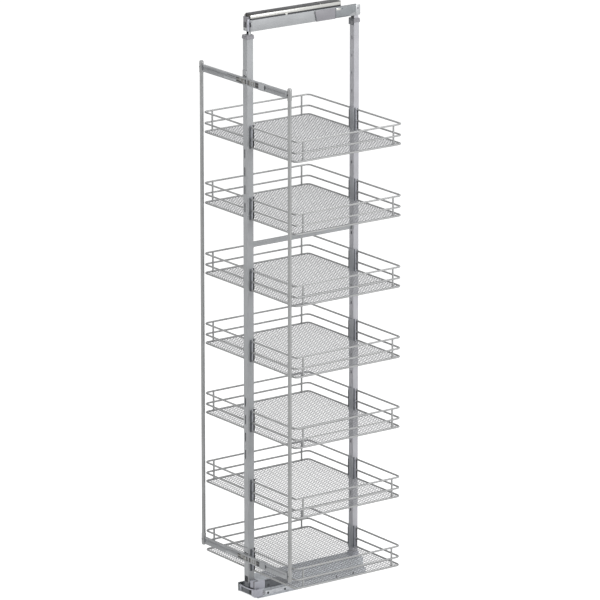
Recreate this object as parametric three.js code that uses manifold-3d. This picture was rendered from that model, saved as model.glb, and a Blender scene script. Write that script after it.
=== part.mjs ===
// Pull-out larder unit: seven wire baskets hung between two posts, on a full-extension floor runner,
// guided by a telescopic rail under the cabinet top, with a frame in front that carries the door.
// Millimetres. +Z up, -Y is the front, the origin is the middle of the underside of the floor rail.

import * as THREE from 'three';
import { mergeVertices } from 'three/addons/utils/BufferGeometryUtils.js';
import Module from 'manifold-3d';

const wasm = await Module();
wasm.setup();

// ---------------------------------------------------------------- driving dimensions

// clearances
const SEAT_GAP = 0.3; // between pieces that are seated on each other
const RUN_GAP = 0.4; // between pieces that slide in each other

// working allowances of the solids
const OVERCUT = 1; // how far a cutter passes the surface that it cuts
const OVERLAP = 1; // how far two solids that are joined go into each other

// hook slots, on the sides of the posts that face the baskets
const SLOT_PITCH = 64;
const SLOT_FIRST_Z = 102;
const SLOT_WIDTH = 5;
const SLOT_HEIGHT = 11;
const SLOT_TOP_MARGIN = 50; // no slot comes nearer to the top of a post

// baskets
const BASKET_COUNT = 7;
const SLOTS_PER_BASKET = 4; // slots from one basket to the next
const SLOT_ABOVE_FLOOR_WIRE = 9; // the lower slot that a hook uses
const BASKET_WIDTH = 550; // over the wire centres
const BASKET_DEPTH = 454; // over the wire centres
const BASKET_CORNER_R = 15;
const CORNER_STEPS = 2;
const MIDDLE_WIRE_DROP = 40;
const FLOOR_WIRE_DROP = 71;
const BASKET_LIFT = 6; // what frees the hooks from their slots
const WIRE_D = 6;
const WIRE_SIDES = 6;
const WELD_SINK = 1.5; // how far two welded wires go into each other
const UPRIGHT_INSET_Y = 34; // side upright to basket corner
const BEARER_D = 3; // thin wires from side to side, right under the net
const BEARER_Y = 110;
const NET_THICKNESS = 1.5;
const NET_CELL = 75;
const NET_STRAND = 12;
const NET_EDGE_SLACK = 7.5; // by which the outer gaps may narrow the strands at the edge

// posts
const POST_WIDTH = 25;
const POST_WALL = 1.5;
const FRONT_POST_DEPTH = 25.5;
const REAR_POST_DEPTH = 21.5;
const FRONT_POST_AHEAD = 17; // its front face, in front of the baskets' front wires
const REAR_POST_INSIDE = 13.5; // its front face, in front of the baskets' rear wires
const POST_ABOVE_TOP_RIM = 320;
const FRONT_POST_SUNK = 10; // its foot, below the top of the carriage
const FOOT_WINDOW_HEIGHT = 22;
const FOOT_WINDOW_WIDTH = 19;

// two groups of taller slots in the front face of the front post, midway between hook slots
const FRONT_SLOT_GROUPS = [6, 20]; // the hook slot below the first slot of each group
const FRONT_SLOTS_PER_GROUP = 4;
const FRONT_SLOT_X = -3;
const FRONT_SLOT_WIDTH = 5;
const FRONT_SLOT_HEIGHT = 32;

// inner telescopic tubes and their collars
const TUBE_WALL = 1.5;
const TUBE_IN_POST = 290;
const TUBE_SHOWING = 13.7; // between the collar and the top channel
const COLLAR_WALL = 2.5;
const COLLAR_SKIRT = 7;
const COLLAR_CAP = 7;

// hooks that carry a basket on the slots of a post
const HOOK_SHEET = 2;
const HOOK_ABOVE = 6; // over its rim wire or its upper slot
const HOOK_BELOW = 4; // under its floor wire
const HOOK_WRAP = 17.5; // how far the side plates reach along the post
const TAB_SIDE_GAP = 1;
const TAB_REACH = 3; // behind the wall of the post

// strut between the posts
const STRUT_BASKET = 3; // the basket that it crosses over, counted from the top
const STRUT_ABOVE_RIM = 90;
const STRUT_HEIGHT = 20;
const STRUT_THICKNESS = 3;
const STRUT_FLANGE = 8;

// floor runner: fixed rail, middle rail and carriage, one inside the other
const RAIL_WIDTH = 103;
const RAIL_HEIGHT = 20;
const RAIL_SHEET = 2;
const RAIL_FLANGE = 8.5;
const RAIL_SETBACK = 7; // behind the front face of the front post
const RAIL_BEHIND_POST = 8;
const MIDDLE_SIDE_GAP = 3.5;
const MIDDLE_LIFT = 2.5;
const MIDDLE_ABOVE_RAIL = 4;
const MIDDLE_SETBACK = 2; // middle rail ends behind the ends of the fixed rail
const CARRIAGE_SIDE_GAP = 4;
const CARRIAGE_LIFT = 3.5;
const CARRIAGE_HEIGHT = 48;
const CARRIAGE_BEHIND_POST = 5;
const LINER_BELOW_RAIL = 2;
const FLOOR_SCREW_D = 6;
const FLOOR_SCREW_X = 24;
const SIDE_HOLE_D = 5;
const SIDE_HOLE_Z = 10;
const HOLE_FRONT_INSET = 50; // first hole, from the front end of the rail
const HOLE_REAR_INSET = 56; // last hole, from the rear end of the rail
const HOLE_PAIR = 74;
const HOLE_STEPS = 12;

// plastic caps on the front corners of the floor rail
const CAP_FRONT = 9;
const CAP_SHEET = 2;
const CAP_WRAP = 18;
const CAP_ABOVE_RAIL = 12;

// feet of the posts
const FOOT_LIFT = 6; // over the middle rail
const FOOT_INSERT_DEPTH = 20; // inside the front end of the carriage
const FOOT_HOUSING_DEPTH = 19; // beside the post, before the right half of the carriage
const REAR_FOOT_HEIGHT = 16;
const REAR_FOOT_WALL = 3;

// top runner: carriage channel on the tubes, middle beam, and the rail under the cabinet top
const TOP_CHANNEL_WIDTH = 45;
const TOP_CHANNEL_SHEET = 1.5;
const TOP_CHANNEL_HEIGHT = 40;
const TOP_CHANNEL_SETBACK = 14; // behind the front face of the front post
const TOP_CHANNEL_OVER_REAR_POST = 1.5;
const CABINET_RAIL_SIDE_GAP = 1.5;
const CABINET_RAIL_SHEET = 2;
const CABINET_RAIL_SETBACK = 1;
const CABINET_RAIL_SHORTER = 47; // than the channel, at the rear
const CABINET_RAIL_SKIRT_GAP = 14.1; // over the beam's foot
const BEAM_FOOT_HEIGHT = 9;
const BEAM_WEB_HEIGHT = 33.7;
const BEAM_HEAD_HEIGHT = 12;
const BEAM_WEB = 6;
const BEAM_SETBACK = 2;

// soft-close damper on the right side of the top channel
const DAMPER_REAR_INSET = 17; // from the rear end of the channel
const DAMPER_LENGTH = 156;
const DAMPER_THICKNESS = 4;
const DAMPER_BELOW_TOP = 2;
const DAMPER_SLANT = 7;
const DAMPER_NOTCH = 14;

// connectors between the tubes and the top channel
const FRONT_CONNECTOR_WIDTH = 21;
const FRONT_CONNECTOR_HEIGHT = 51;
const FRONT_CONNECTOR_SETBACK = 2; // behind the front face of the front post
const FRONT_CONNECTOR_SHEET = 2;
const CONNECTOR_DEPTH_IN = 12;
const REAR_CONNECTOR_HEIGHT = 35;
const REAR_CONNECTOR_DEPTH = 17;

// door frame
const ROD_INSET = 13; // from the baskets' side wires
const ROD_BEHIND_BAR = 2.7;
const ROD_D = 13.5;
const ROD_SIDES = 12;
const ROD_PAST_BAR = 10.5;
const ROD_CAP_D = 16;
const ROD_CAP_LENGTH = 44;
const ROD_CAP_DOME = 5;
const LOWER_BAR_ABOVE_CARRIAGE = 82;
const UPPER_BAR_BELOW_POST_TOP = 153;
const BAR_HEIGHT = 25;
const BAR_DEPTH = 8.8;
const BAR_BACK_WALL = 2.3;
const BAR_LIP = 3;
const BAR_GROOVE_SLOPE = 1;
const DOOR_PLAY = 3; // side adjustment of the door frame, each way
const STEM_WIDTH = 24;
const STEM_HEIGHT = 10;
const STEM_SIDE_GAP = 1; // with the door frame pushed over
const BRACKET_WIDTH = 30;
const BRACKET_SHEET = 2;
const BRACKET_ABOVE = 36;
const BRACKET_BELOW = 14;
const ADJUSTER_LEFT = -56;
const ADJUSTER_RIGHT = 51;
const ADJUSTER_EDGE_GAP = 1;
const ADJUSTER_INSET = 0.8; // behind the front of the bar
const SPINDLE_D = 4;
const SPINDLE_ENTRY = 6; // into the nut block
const NUT_BORE_GAP = 1; // round the spindle
const NUT_BORE_SPARE = 3; // behind the spindle's end, with the door frame pushed over
const NUT_BLOCK_LEFT = 75;
const NUT_BLOCK_RIGHT = 111;

// ---------------------------------------------------------------- worked-out places

// baskets and their hooks, heights below the rim being negative
const basketPitch = SLOTS_PER_BASKET * SLOT_PITCH;
const lowerHookSlot = SLOT_ABOVE_FLOOR_WIRE - FLOOR_WIRE_DROP;
const upperHookSlot = lowerHookSlot + SLOT_PITCH;
const lowestRimZ = SLOT_FIRST_Z - lowerHookSlot;
const topRimZ = lowestRimZ + (BASKET_COUNT - 1) * basketPitch;
const hookInnerX = POST_WIDTH / 2 + SEAT_GAP;
const hookOuterX = hookInnerX + HOOK_SHEET;
const netTop = -FLOOR_WIRE_DROP + NET_THICKNESS / 2;
const netFoot = netTop - NET_THICKNESS;

// floor runner
const middleWidth = RAIL_WIDTH - 2 * (RAIL_SHEET + MIDDLE_SIDE_GAP);
const middleBaseZ = RAIL_SHEET + MIDDLE_LIFT;
const middleTopZ = RAIL_HEIGHT + MIDDLE_ABOVE_RAIL;
const carriageWidth = middleWidth - 2 * (RAIL_SHEET + CARRIAGE_SIDE_GAP);
const carriageSkirtZ = middleBaseZ + RAIL_SHEET + CARRIAGE_LIFT;
const carriageTopZ = carriageSkirtZ + CARRIAGE_HEIGHT;

// posts and tubes
const halfPost = POST_WIDTH / 2;
const frontPostFaceY = -BASKET_DEPTH / 2 - FRONT_POST_AHEAD;
const frontPostBackY = frontPostFaceY + FRONT_POST_DEPTH;
const frontPostMidY = frontPostFaceY + FRONT_POST_DEPTH / 2;
const frontPostFootZ = carriageTopZ - FRONT_POST_SUNK;
const rearPostFaceY = BASKET_DEPTH / 2 - REAR_POST_INSIDE;
const rearPostBackY = rearPostFaceY + REAR_POST_DEPTH;
const rearPostMidY = rearPostFaceY + REAR_POST_DEPTH / 2;
const postTopZ = topRimZ + POST_ABOVE_TOP_RIM;
const collarTopZ = postTopZ + SEAT_GAP + COLLAR_CAP;

// ends of the runners
const railFrontY = frontPostFaceY + RAIL_SETBACK;
const railRearY = rearPostBackY + RAIL_BEHIND_POST;
const middleFrontY = railFrontY + MIDDLE_SETBACK;
const middleRearY = railRearY - MIDDLE_SETBACK;
const carriageFrontY = frontPostBackY + SEAT_GAP;
const topChannelFrontY = frontPostFaceY + TOP_CHANNEL_SETBACK;
const topChannelRearY = rearPostFaceY + TOP_CHANNEL_OVER_REAR_POST;
const cabinetRailFrontY = topChannelFrontY + CABINET_RAIL_SETBACK;
const cabinetRailRearY = topChannelRearY - CABINET_RAIL_SHORTER;

// top runner, from the channel up
const topChannelZ = collarTopZ + TUBE_SHOWING;
const beamFootZ = topChannelZ + TOP_CHANNEL_SHEET + RUN_GAP;
const beamFootTopZ = beamFootZ + BEAM_FOOT_HEIGHT;
const beamHeadZ = beamFootTopZ + BEAM_WEB_HEIGHT;
const beamTopZ = beamHeadZ + BEAM_HEAD_HEIGHT;
const cabinetRailTopZ = beamTopZ + RUN_GAP + CABINET_RAIL_SHEET;
const cabinetRailHalf = TOP_CHANNEL_WIDTH / 2 - TOP_CHANNEL_SHEET - CABINET_RAIL_SIDE_GAP;

// door frame, from the bracket on the post to the front of the bars
const bracketBackY = frontPostFaceY - SEAT_GAP;
const barBackY = bracketBackY - BRACKET_SHEET - RUN_GAP;
const barFrontY = barBackY - BAR_DEPTH;
const grooveY = barBackY - BAR_BACK_WALL;
const stemFrontY = grooveY - RUN_GAP;
const adjusterBackY = stemFrontY - SEAT_GAP;
const adjusterFrontY = barFrontY + ADJUSTER_INSET;
const spindleY = (adjusterFrontY + adjusterBackY) / 2;
const rodX = BASKET_WIDTH / 2 - ROD_INSET;
const rodY = barBackY + ROD_BEHIND_BAR;
const lowerBarZ = carriageTopZ + LOWER_BAR_ABOVE_CARRIAGE;
const upperBarZ = postTopZ - UPPER_BAR_BELOW_POST_TOP;

// ---------------------------------------------------------------- finishes

function finish(color, roughness, metalness) {
  return new THREE.MeshStandardMaterial({ color, roughness, metalness });
}

const SILVER_COAT = finish(0xa9abae, 0.45, 0.6);
const WIRE_COAT = finish(0xb4b4b0, 0.35, 0.8);
const GREY_STEEL = finish(0x8a8c90, 0.4, 0.8);
const BRIGHT_STEEL = finish(0xc4c6c9, 0.3, 0.9);
const GREY_PLASTIC = finish(0x9a989e, 0.55, 0.0);
const LIGHT_PLASTIC = finish(0xc8c8cc, 0.5, 0.0);

// ---------------------------------------------------------------- solid helpers

function toSolid(geometry) {
  const bare = geometry.clone();
  bare.deleteAttribute('normal');
  bare.deleteAttribute('uv');
  const merged = mergeVertices(bare, 1e-4);
  const vertProperties = new Float32Array(merged.attributes.position.array);
  const triVerts = new Uint32Array(merged.index.array);
  return new wasm.Manifold(new wasm.Mesh({ numProp: 3, vertProperties, triVerts }));
}

function toGeometry(solid) {
  const mesh = solid.getMesh();
  const geometry = new THREE.BufferGeometry();
  geometry.setAttribute('position', new THREE.BufferAttribute(mesh.vertProperties, 3));
  geometry.setIndex(new THREE.BufferAttribute(mesh.triVerts, 1));
  geometry.computeVertexNormals();
  return geometry;
}

function joined(solids) {
  return solids.reduce((whole, next) => whole.add(next));
}

function without(solid, cutters) {
  return cutters.reduce((rest, cutter) => rest.subtract(cutter), solid);
}

function box(xLow, xHigh, yLow, yHigh, zLow, zHigh) {
  const geometry = new THREE.BoxGeometry(xHigh - xLow, yHigh - yLow, zHigh - zLow);
  geometry.translate((xLow + xHigh) / 2, (yLow + yHigh) / 2, (zLow + zHigh) / 2);
  return toSolid(geometry);
}

function outline(points, holes = []) {
  const shape = new THREE.Shape(points.map(([a, b]) => new THREE.Vector2(a, b)));
  for (const hole of holes) {
    shape.holes.push(new THREE.Path(hole.map(([a, b]) => new THREE.Vector2(a, b))));
  }
  return shape;
}

function rectangle(aLow, aHigh, bLow, bHigh) {
  return [[aLow, bLow], [aHigh, bLow], [aHigh, bHigh], [aLow, bHigh]];
}

// an outline in X and Y, raised from zLow to zHigh
function raised(shape, zLow, zHigh) {
  const geometry = new THREE.ExtrudeGeometry(shape, { depth: zHigh - zLow, bevelEnabled: false });
  geometry.translate(0, 0, zLow);
  return toSolid(geometry);
}

// a section in X and Z, run from yLow to yHigh
function runAlongY(shape, yLow, yHigh) {
  const geometry = new THREE.ExtrudeGeometry(shape, { depth: yHigh - yLow, bevelEnabled: false });
  geometry.rotateX(Math.PI / 2);
  geometry.translate(0, yHigh, 0);
  return toSolid(geometry);
}

// a section in Y and Z, run from xLow to xHigh
function runAlongX(shape, xLow, xHigh) {
  const geometry = new THREE.ExtrudeGeometry(shape, { depth: xHigh - xLow, bevelEnabled: false });
  geometry.rotateY(Math.PI / 2);
  geometry.rotateX(Math.PI / 2);
  geometry.translate(xLow, 0, 0);
  return toSolid(geometry);
}

function rodAlong(axis, diameter, sides, length, centre) {
  const geometry = new THREE.CylinderGeometry(diameter / 2, diameter / 2, length, sides);
  if (axis === 'x') {
    geometry.rotateZ(Math.PI / 2);
  }
  if (axis === 'z') {
    geometry.rotateX(Math.PI / 2);
  }
  geometry.translate(...centre);
  return toSolid(geometry);
}

// ---------------------------------------------------------------- wires

// A route whose sections stand exactly on its points, with the mean direction at each bend.
class WireRoute extends THREE.Curve {
  constructor(points) {
    super();
    this.points = points;
  }

  getPointAt(u) {
    return this.points[Math.round(u * (this.points.length - 1))].clone();
  }

  getTangentAt(u) {
    const place = Math.round(u * (this.points.length - 1));
    const before = this.points[Math.max(place - 1, 0)];
    const here = this.points[place];
    const after = this.points[Math.min(place + 1, this.points.length - 1)];
    const arriving = here.clone().sub(before).normalize();
    const leaving = after.clone().sub(here).normalize();
    return arriving.add(leaving).normalize();
  }
}

function wireSection() {
  const points = [];
  for (let side = 0; side < WIRE_SIDES; side += 1) {
    const angle = (side + 0.5) * 2 * Math.PI / WIRE_SIDES;
    points.push([Math.cos(angle) * WIRE_D / 2, Math.sin(angle) * WIRE_D / 2]);
  }
  return outline(points);
}

function corner(x, y, startAngle) {
  const points = [];
  for (let step = 0; step <= CORNER_STEPS; step += 1) {
    const angle = startAngle + step / CORNER_STEPS * Math.PI / 2;
    points.push([x + BASKET_CORNER_R * Math.cos(angle), y + BASKET_CORNER_R * Math.sin(angle)]);
  }
  return points;
}

// The right half of one ring of the basket, from the front hook to the rear hook.
function halfRing(z) {
  const cornerX = BASKET_WIDTH / 2 - BASKET_CORNER_R;
  const cornerY = BASKET_DEPTH / 2 - BASKET_CORNER_R;
  const start = hookOuterX + SEAT_GAP;
  const flat = [
    [start, -BASKET_DEPTH / 2],
    ...corner(cornerX, -cornerY, -Math.PI / 2),
    ...corner(cornerX, cornerY, 0),
    [start, BASKET_DEPTH / 2],
  ];
  const route = new WireRoute(flat.map(([x, y]) => new THREE.Vector3(x, y, z)));
  const steps = flat.length - 1;
  return new THREE.ExtrudeGeometry(wireSection(), { steps, extrudePath: route, bevelEnabled: false });
}

function basketWires() {
  const wires = [];
  for (const drop of [0, MIDDLE_WIRE_DROP, FLOOR_WIRE_DROP]) {
    const right = toSolid(halfRing(-drop));
    wires.push(right, right.rotate([0, 0, 180]));
  }
  const uprightX = BASKET_WIDTH / 2 - WIRE_D + WELD_SINK;
  const uprightY = BASKET_DEPTH / 2 - UPRIGHT_INSET_Y;
  const uprightFoot = netTop + SEAT_GAP;
  for (const x of [-uprightX, uprightX]) {
    for (const y of [-uprightY, uprightY]) {
      wires.push(rodAlong('z', WIRE_D, WIRE_SIDES, -uprightFoot, [x, y, uprightFoot / 2]));
    }
  }
  const bearerZ = netFoot - SEAT_GAP - BEARER_D / 2;
  for (const y of [-BEARER_Y, BEARER_Y]) {
    wires.push(rodAlong('x', BEARER_D, WIRE_SIDES, BASKET_WIDTH, [0, y, bearerZ]));
  }
  return joined(wires);
}

// ---------------------------------------------------------------- basket floor and hooks

// The net is a sheet with rows of square gaps. A gap that would come too near the cut-outs
// for the posts is left closed.
function netGaps(halfX, halfY, notchX, notchY) {
  const reach = (NET_CELL - NET_STRAND) / 2;
  const columns = Math.floor((2 * halfX + NET_EDGE_SLACK) / NET_CELL);
  const rows = Math.floor((2 * halfY + NET_EDGE_SLACK) / NET_CELL);
  const gaps = [];
  for (let row = 0; row < rows; row += 1) {
    const y = (row - (rows - 1) / 2) * NET_CELL;
    for (let column = 0; column < columns; column += 1) {
      const x = (column - (columns - 1) / 2) * NET_CELL;
      const nearNotch = Math.abs(x) < notchX + reach && Math.abs(y) + reach > notchY - NET_STRAND / 2;
      if (!nearNotch) {
        gaps.push(rectangle(x - reach, x + reach, y - reach, y + reach));
      }
    }
  }
  return gaps;
}

function basketNet() {
  const halfX = BASKET_WIDTH / 2 - WIRE_D / 2 - SEAT_GAP;
  const halfY = BASKET_DEPTH / 2 - WIRE_D / 2 - SEAT_GAP;
  const chamfer = BASKET_CORNER_R - WIRE_D / 2;
  const notchX = hookOuterX + SEAT_GAP;
  const frontNotchY = frontPostBackY + HOOK_SHEET + 2 * SEAT_GAP;
  const rearNotchY = rearPostFaceY - HOOK_SHEET - 2 * SEAT_GAP;
  const edge = [
    [-notchX, -halfY], [-notchX, frontNotchY], [notchX, frontNotchY], [notchX, -halfY],
    [halfX - chamfer, -halfY], [halfX, -halfY + chamfer],
    [halfX, halfY - chamfer], [halfX - chamfer, halfY],
    [notchX, halfY], [notchX, rearNotchY], [-notchX, rearNotchY], [-notchX, halfY],
    [-halfX + chamfer, halfY], [-halfX, halfY - chamfer],
    [-halfX, -halfY + chamfer], [-halfX + chamfer, -halfY],
  ];
  const gaps = netGaps(halfX, halfY, notchX, Math.min(-frontNotchY, rearNotchY));
  const cutters = gaps.map((gap) => raised(outline(gap), netFoot - OVERCUT, netTop + OVERCUT));
  return without(raised(outline(edge), netFoot, netTop), cutters);
}

// A channel of sheet round the inner side of a post, with two tabs that drop into its slots.
// The inner face of the post is at faceY, and the post lies towards side (-1 front, 1 rear).
function basketHook(faceY, side) {
  const webNear = faceY - side * SEAT_GAP;
  const webFar = webNear - side * HOOK_SHEET;
  const wrapEnd = faceY + side * HOOK_WRAP;
  const section = [
    [-hookOuterX, webFar], [hookOuterX, webFar], [hookOuterX, wrapEnd], [hookInnerX, wrapEnd],
    [hookInnerX, webNear], [-hookInnerX, webNear], [-hookInnerX, wrapEnd], [-hookOuterX, wrapEnd],
  ];
  const hookTop = Math.max(upperHookSlot, 0) + HOOK_ABOVE;
  const channel = raised(outline(section), -FLOOR_WIRE_DROP - HOOK_BELOW, hookTop);
  const tabX = SLOT_WIDTH / 2 - TAB_SIDE_GAP;
  const tabHeight = SLOT_HEIGHT - BASKET_LIFT - 2 * SEAT_GAP;
  const tabEnd = faceY + side * (POST_WALL + TAB_REACH);
  const tabs = [lowerHookSlot, upperHookSlot].map((slotZ) => {
    const foot = slotZ - SLOT_HEIGHT / 2 + SEAT_GAP;
    const [low, high] = [webFar, tabEnd].sort((a, b) => a - b);
    return box(-tabX, tabX, low, high, foot, foot + tabHeight);
  });
  return joined([channel, ...tabs]);
}

// ---------------------------------------------------------------- posts, tubes and collars

function squareTube(width, yLow, yHigh, wall, zLow, zHigh) {
  const outer = rectangle(-width / 2, width / 2, yLow, yHigh);
  const inner = rectangle(-width / 2 + wall, width / 2 - wall, yLow + wall, yHigh - wall);
  return raised(outline(outer, [inner]), zLow, zHigh);
}

// Cutters for the hook slots, through a wall that lies between yLow and yHigh.
function hookSlots(yLow, yHigh) {
  const room = postTopZ - SLOT_TOP_MARGIN - SLOT_FIRST_Z;
  const half = SLOT_HEIGHT / 2;
  const cutters = [];
  for (let rise = 0; rise <= room; rise += SLOT_PITCH) {
    const z = SLOT_FIRST_Z + rise;
    cutters.push(box(-SLOT_WIDTH / 2, SLOT_WIDTH / 2, yLow, yHigh, z - half, z + half));
  }
  return cutters;
}

function frontSlots(yLow, yHigh) {
  const left = FRONT_SLOT_X - FRONT_SLOT_WIDTH / 2;
  const half = FRONT_SLOT_HEIGHT / 2;
  const cutters = [];
  for (const group of FRONT_SLOT_GROUPS) {
    for (let place = 0; place < FRONT_SLOTS_PER_GROUP; place += 1) {
      const z = SLOT_FIRST_Z + (group + place + 0.5) * SLOT_PITCH;
      cutters.push(box(left, left + FRONT_SLOT_WIDTH, yLow, yHigh, z - half, z + half));
    }
  }
  return cutters;
}

function frontPost() {
  const foot = frontPostFootZ;
  const tube = squareTube(POST_WIDTH, frontPostFaceY, frontPostBackY, POST_WALL, foot, postTopZ);
  const windowHalf = FOOT_WINDOW_WIDTH / 2;
  const front = frontPostFaceY - OVERCUT;
  const wallEnd = frontPostFaceY + POST_WALL + OVERCUT;
  const windowTop = foot + FOOT_WINDOW_HEIGHT;
  const window = box(-windowHalf, windowHalf, front, wallEnd, foot - OVERCUT, windowTop);
  const rearWall = hookSlots(frontPostBackY - POST_WALL - OVERCUT, frontPostBackY + OVERCUT);
  return without(tube, [...rearWall, ...frontSlots(front, wallEnd), window]);
}

function rearPost() {
  const foot = carriageTopZ + SEAT_GAP;
  const tube = squareTube(POST_WIDTH, rearPostFaceY, rearPostBackY, POST_WALL, foot, postTopZ);
  return without(tube, hookSlots(rearPostFaceY - OVERCUT, rearPostFaceY + POST_WALL + OVERCUT));
}

function innerTube(midY, postDepth) {
  const width = POST_WIDTH - 2 * POST_WALL - 2 * RUN_GAP;
  const depth = postDepth - 2 * POST_WALL - 2 * RUN_GAP;
  const foot = postTopZ - TUBE_IN_POST;
  return squareTube(width, midY - depth / 2, midY + depth / 2, TUBE_WALL, foot, topChannelZ - SEAT_GAP);
}

// The collar caps the post, and the inner tube comes up through it.
function collar(midY, postDepth) {
  const halfX = halfPost + SEAT_GAP + COLLAR_WALL;
  const halfY = postDepth / 2 + SEAT_GAP + COLLAR_WALL;
  const skirtZ = postTopZ - COLLAR_SKIRT;
  const seatZ = postTopZ + SEAT_GAP;
  const block = box(-halfX, halfX, midY - halfY, midY + halfY, skirtZ, collarTopZ);
  const seatX = halfX - COLLAR_WALL;
  const seatY = halfY - COLLAR_WALL;
  const seat = box(-seatX, seatX, midY - seatY, midY + seatY, skirtZ - OVERCUT, seatZ);
  const boreX = halfPost - POST_WALL;
  const boreY = postDepth / 2 - POST_WALL;
  const bore = box(-boreX, boreX, midY - boreY, midY + boreY, seatZ - OVERCUT, collarTopZ + OVERCUT);
  return without(block, [seat, bore]);
}

function strut() {
  const z = topRimZ - (STRUT_BASKET - 1) * basketPitch + STRUT_ABOVE_RIM;
  const half = STRUT_HEIGHT / 2;
  const front = frontPostBackY + SEAT_GAP;
  const rear = rearPostFaceY - SEAT_GAP;
  const side = STRUT_THICKNESS / 2;
  const flange = side + STRUT_FLANGE;
  const section = [
    [-side, front], [flange, front], [flange, front + STRUT_THICKNESS], [side, front + STRUT_THICKNESS],
    [side, rear - STRUT_THICKNESS], [flange, rear - STRUT_THICKNESS], [flange, rear], [-side, rear],
  ];
  return raised(outline(section), z - half, z + half);
}

// ---------------------------------------------------------------- floor runner

// A U of sheet, open at the top.
function channelSection(halfWidth, sheet, zLow, zHigh) {
  return outline([
    [-halfWidth, zLow], [halfWidth, zLow], [halfWidth, zHigh], [halfWidth - sheet, zHigh],
    [halfWidth - sheet, zLow + sheet], [-halfWidth + sheet, zLow + sheet],
    [-halfWidth + sheet, zHigh], [-halfWidth, zHigh],
  ]);
}

// A U of sheet, open below.
function hoodSection(halfWidth, sheet, zLow, zHigh) {
  return outline([
    [halfWidth, zHigh], [-halfWidth, zHigh], [-halfWidth, zLow], [-halfWidth + sheet, zLow],
    [-halfWidth + sheet, zHigh - sheet], [halfWidth - sheet, zHigh - sheet],
    [halfWidth - sheet, zLow], [halfWidth, zLow],
  ]);
}

function floorRail() {
  const section = channelSection(RAIL_WIDTH / 2, RAIL_SHEET, 0, RAIL_HEIGHT);
  const channel = runAlongY(section, railFrontY, railRearY);
  const flangeX = RAIL_WIDTH / 2 + RAIL_FLANGE;
  const flanges = box(-flangeX, flangeX, railFrontY, railRearY, 0, RAIL_SHEET);
  const holes = [];
  for (const pairStart of [railFrontY + HOLE_FRONT_INSET, railRearY - HOLE_REAR_INSET - HOLE_PAIR]) {
    for (const y of [pairStart, pairStart + HOLE_PAIR]) {
      holes.push(rodAlong('x', SIDE_HOLE_D, HOLE_STEPS, 2 * RAIL_WIDTH, [0, y, SIDE_HOLE_Z]));
      for (const x of [-FLOOR_SCREW_X, FLOOR_SCREW_X]) {
        holes.push(rodAlong('z', FLOOR_SCREW_D, HOLE_STEPS, 4 * RAIL_SHEET, [x, y, RAIL_SHEET / 2]));
      }
    }
  }
  return without(joined([channel, flanges]), holes);
}

// A U-shaped glide that fills the space between two nested channels.
function liner(outerHalf, outerZ, innerHalf, innerZ) {
  const wide = outerHalf - SEAT_GAP;
  const narrow = innerHalf + SEAT_GAP;
  const low = outerZ + SEAT_GAP;
  const high = innerZ - SEAT_GAP;
  const top = RAIL_HEIGHT - LINER_BELOW_RAIL;
  const section = outline([
    [-wide, low], [wide, low], [wide, top], [narrow, top],
    [narrow, high], [-narrow, high], [-narrow, top], [-wide, top],
  ]);
  return runAlongY(section, middleFrontY, middleRearY);
}

function railLiner() {
  return liner(RAIL_WIDTH / 2 - RAIL_SHEET, RAIL_SHEET, middleWidth / 2, middleBaseZ);
}

function middleRail() {
  const section = channelSection(middleWidth / 2, RAIL_SHEET, middleBaseZ, middleTopZ);
  return runAlongY(section, middleFrontY, middleRearY);
}

function middleLiner() {
  return liner(middleWidth / 2 - RAIL_SHEET, middleBaseZ + RAIL_SHEET, carriageWidth / 2, carriageSkirtZ);
}

function carriage() {
  const section = hoodSection(carriageWidth / 2, RAIL_SHEET, carriageSkirtZ, carriageTopZ);
  return runAlongY(section, carriageFrontY, rearPostBackY + CARRIAGE_BEHIND_POST);
}

// A block under the post, an insert that fills the front end of the carriage, and a housing on the right.
function frontFoot() {
  const foot = middleTopZ + FOOT_LIFT;
  const insertX = carriageWidth / 2 - RAIL_SHEET - SEAT_GAP;
  const insertTop = carriageTopZ - RAIL_SHEET - SEAT_GAP;
  const insertBack = carriageFrontY + FOOT_INSERT_DEPTH;
  const insert = box(-insertX, insertX, carriageFrontY, insertBack, foot, insertTop);
  const blockTop = frontPostFootZ - SEAT_GAP;
  const block = box(-halfPost, halfPost, frontPostFaceY, carriageFrontY + OVERLAP, foot, blockTop);
  const housingX = halfPost + SEAT_GAP;
  const housingFront = carriageFrontY - FOOT_HOUSING_DEPTH;
  const housingBack = carriageFrontY - SEAT_GAP;
  const housing = box(housingX, carriageWidth / 2, housingFront, housingBack, foot, insertTop);
  const neck = box(housingX, insertX, housingBack - OVERLAP, carriageFrontY + OVERLAP, foot, insertTop);
  return joined([insert, block, housing, neck]);
}

// A low collar on the carriage, round the foot of the rear post.
function rearFoot() {
  const seatX = halfPost + SEAT_GAP;
  const seatFront = rearPostFaceY - SEAT_GAP;
  const seatRear = rearPostBackY + SEAT_GAP;
  const wall = REAR_FOOT_WALL;
  const outer = rectangle(-seatX - wall, seatX + wall, seatFront - wall, seatRear + wall);
  const seat = rectangle(-seatX, seatX, seatFront, seatRear);
  const foot = carriageTopZ + SEAT_GAP;
  return raised(outline(outer, [seat]), foot, foot + REAR_FOOT_HEIGHT);
}

// side is 1 for the right corner of the floor rail and -1 for the left one
function railCap(side) {
  const outside = RAIL_WIDTH / 2;
  const near = side * (middleWidth / 2 + SEAT_GAP + RUN_GAP);
  const face = side * (outside + SEAT_GAP);
  const far = side * (outside + SEAT_GAP + CAP_SHEET);
  const seat = railFrontY - SEAT_GAP;
  const front = seat - CAP_FRONT;
  const bend = CAP_FRONT / 2;
  const section = [
    [near, front], [far - side * bend, front], [far, front + bend], [far, railFrontY + CAP_WRAP],
    [face, railFrontY + CAP_WRAP], [face, seat], [near, seat],
  ];
  return raised(outline(section), RAIL_SHEET + SEAT_GAP, RAIL_HEIGHT + CAP_ABOVE_RAIL);
}

// ---------------------------------------------------------------- top runner

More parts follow.
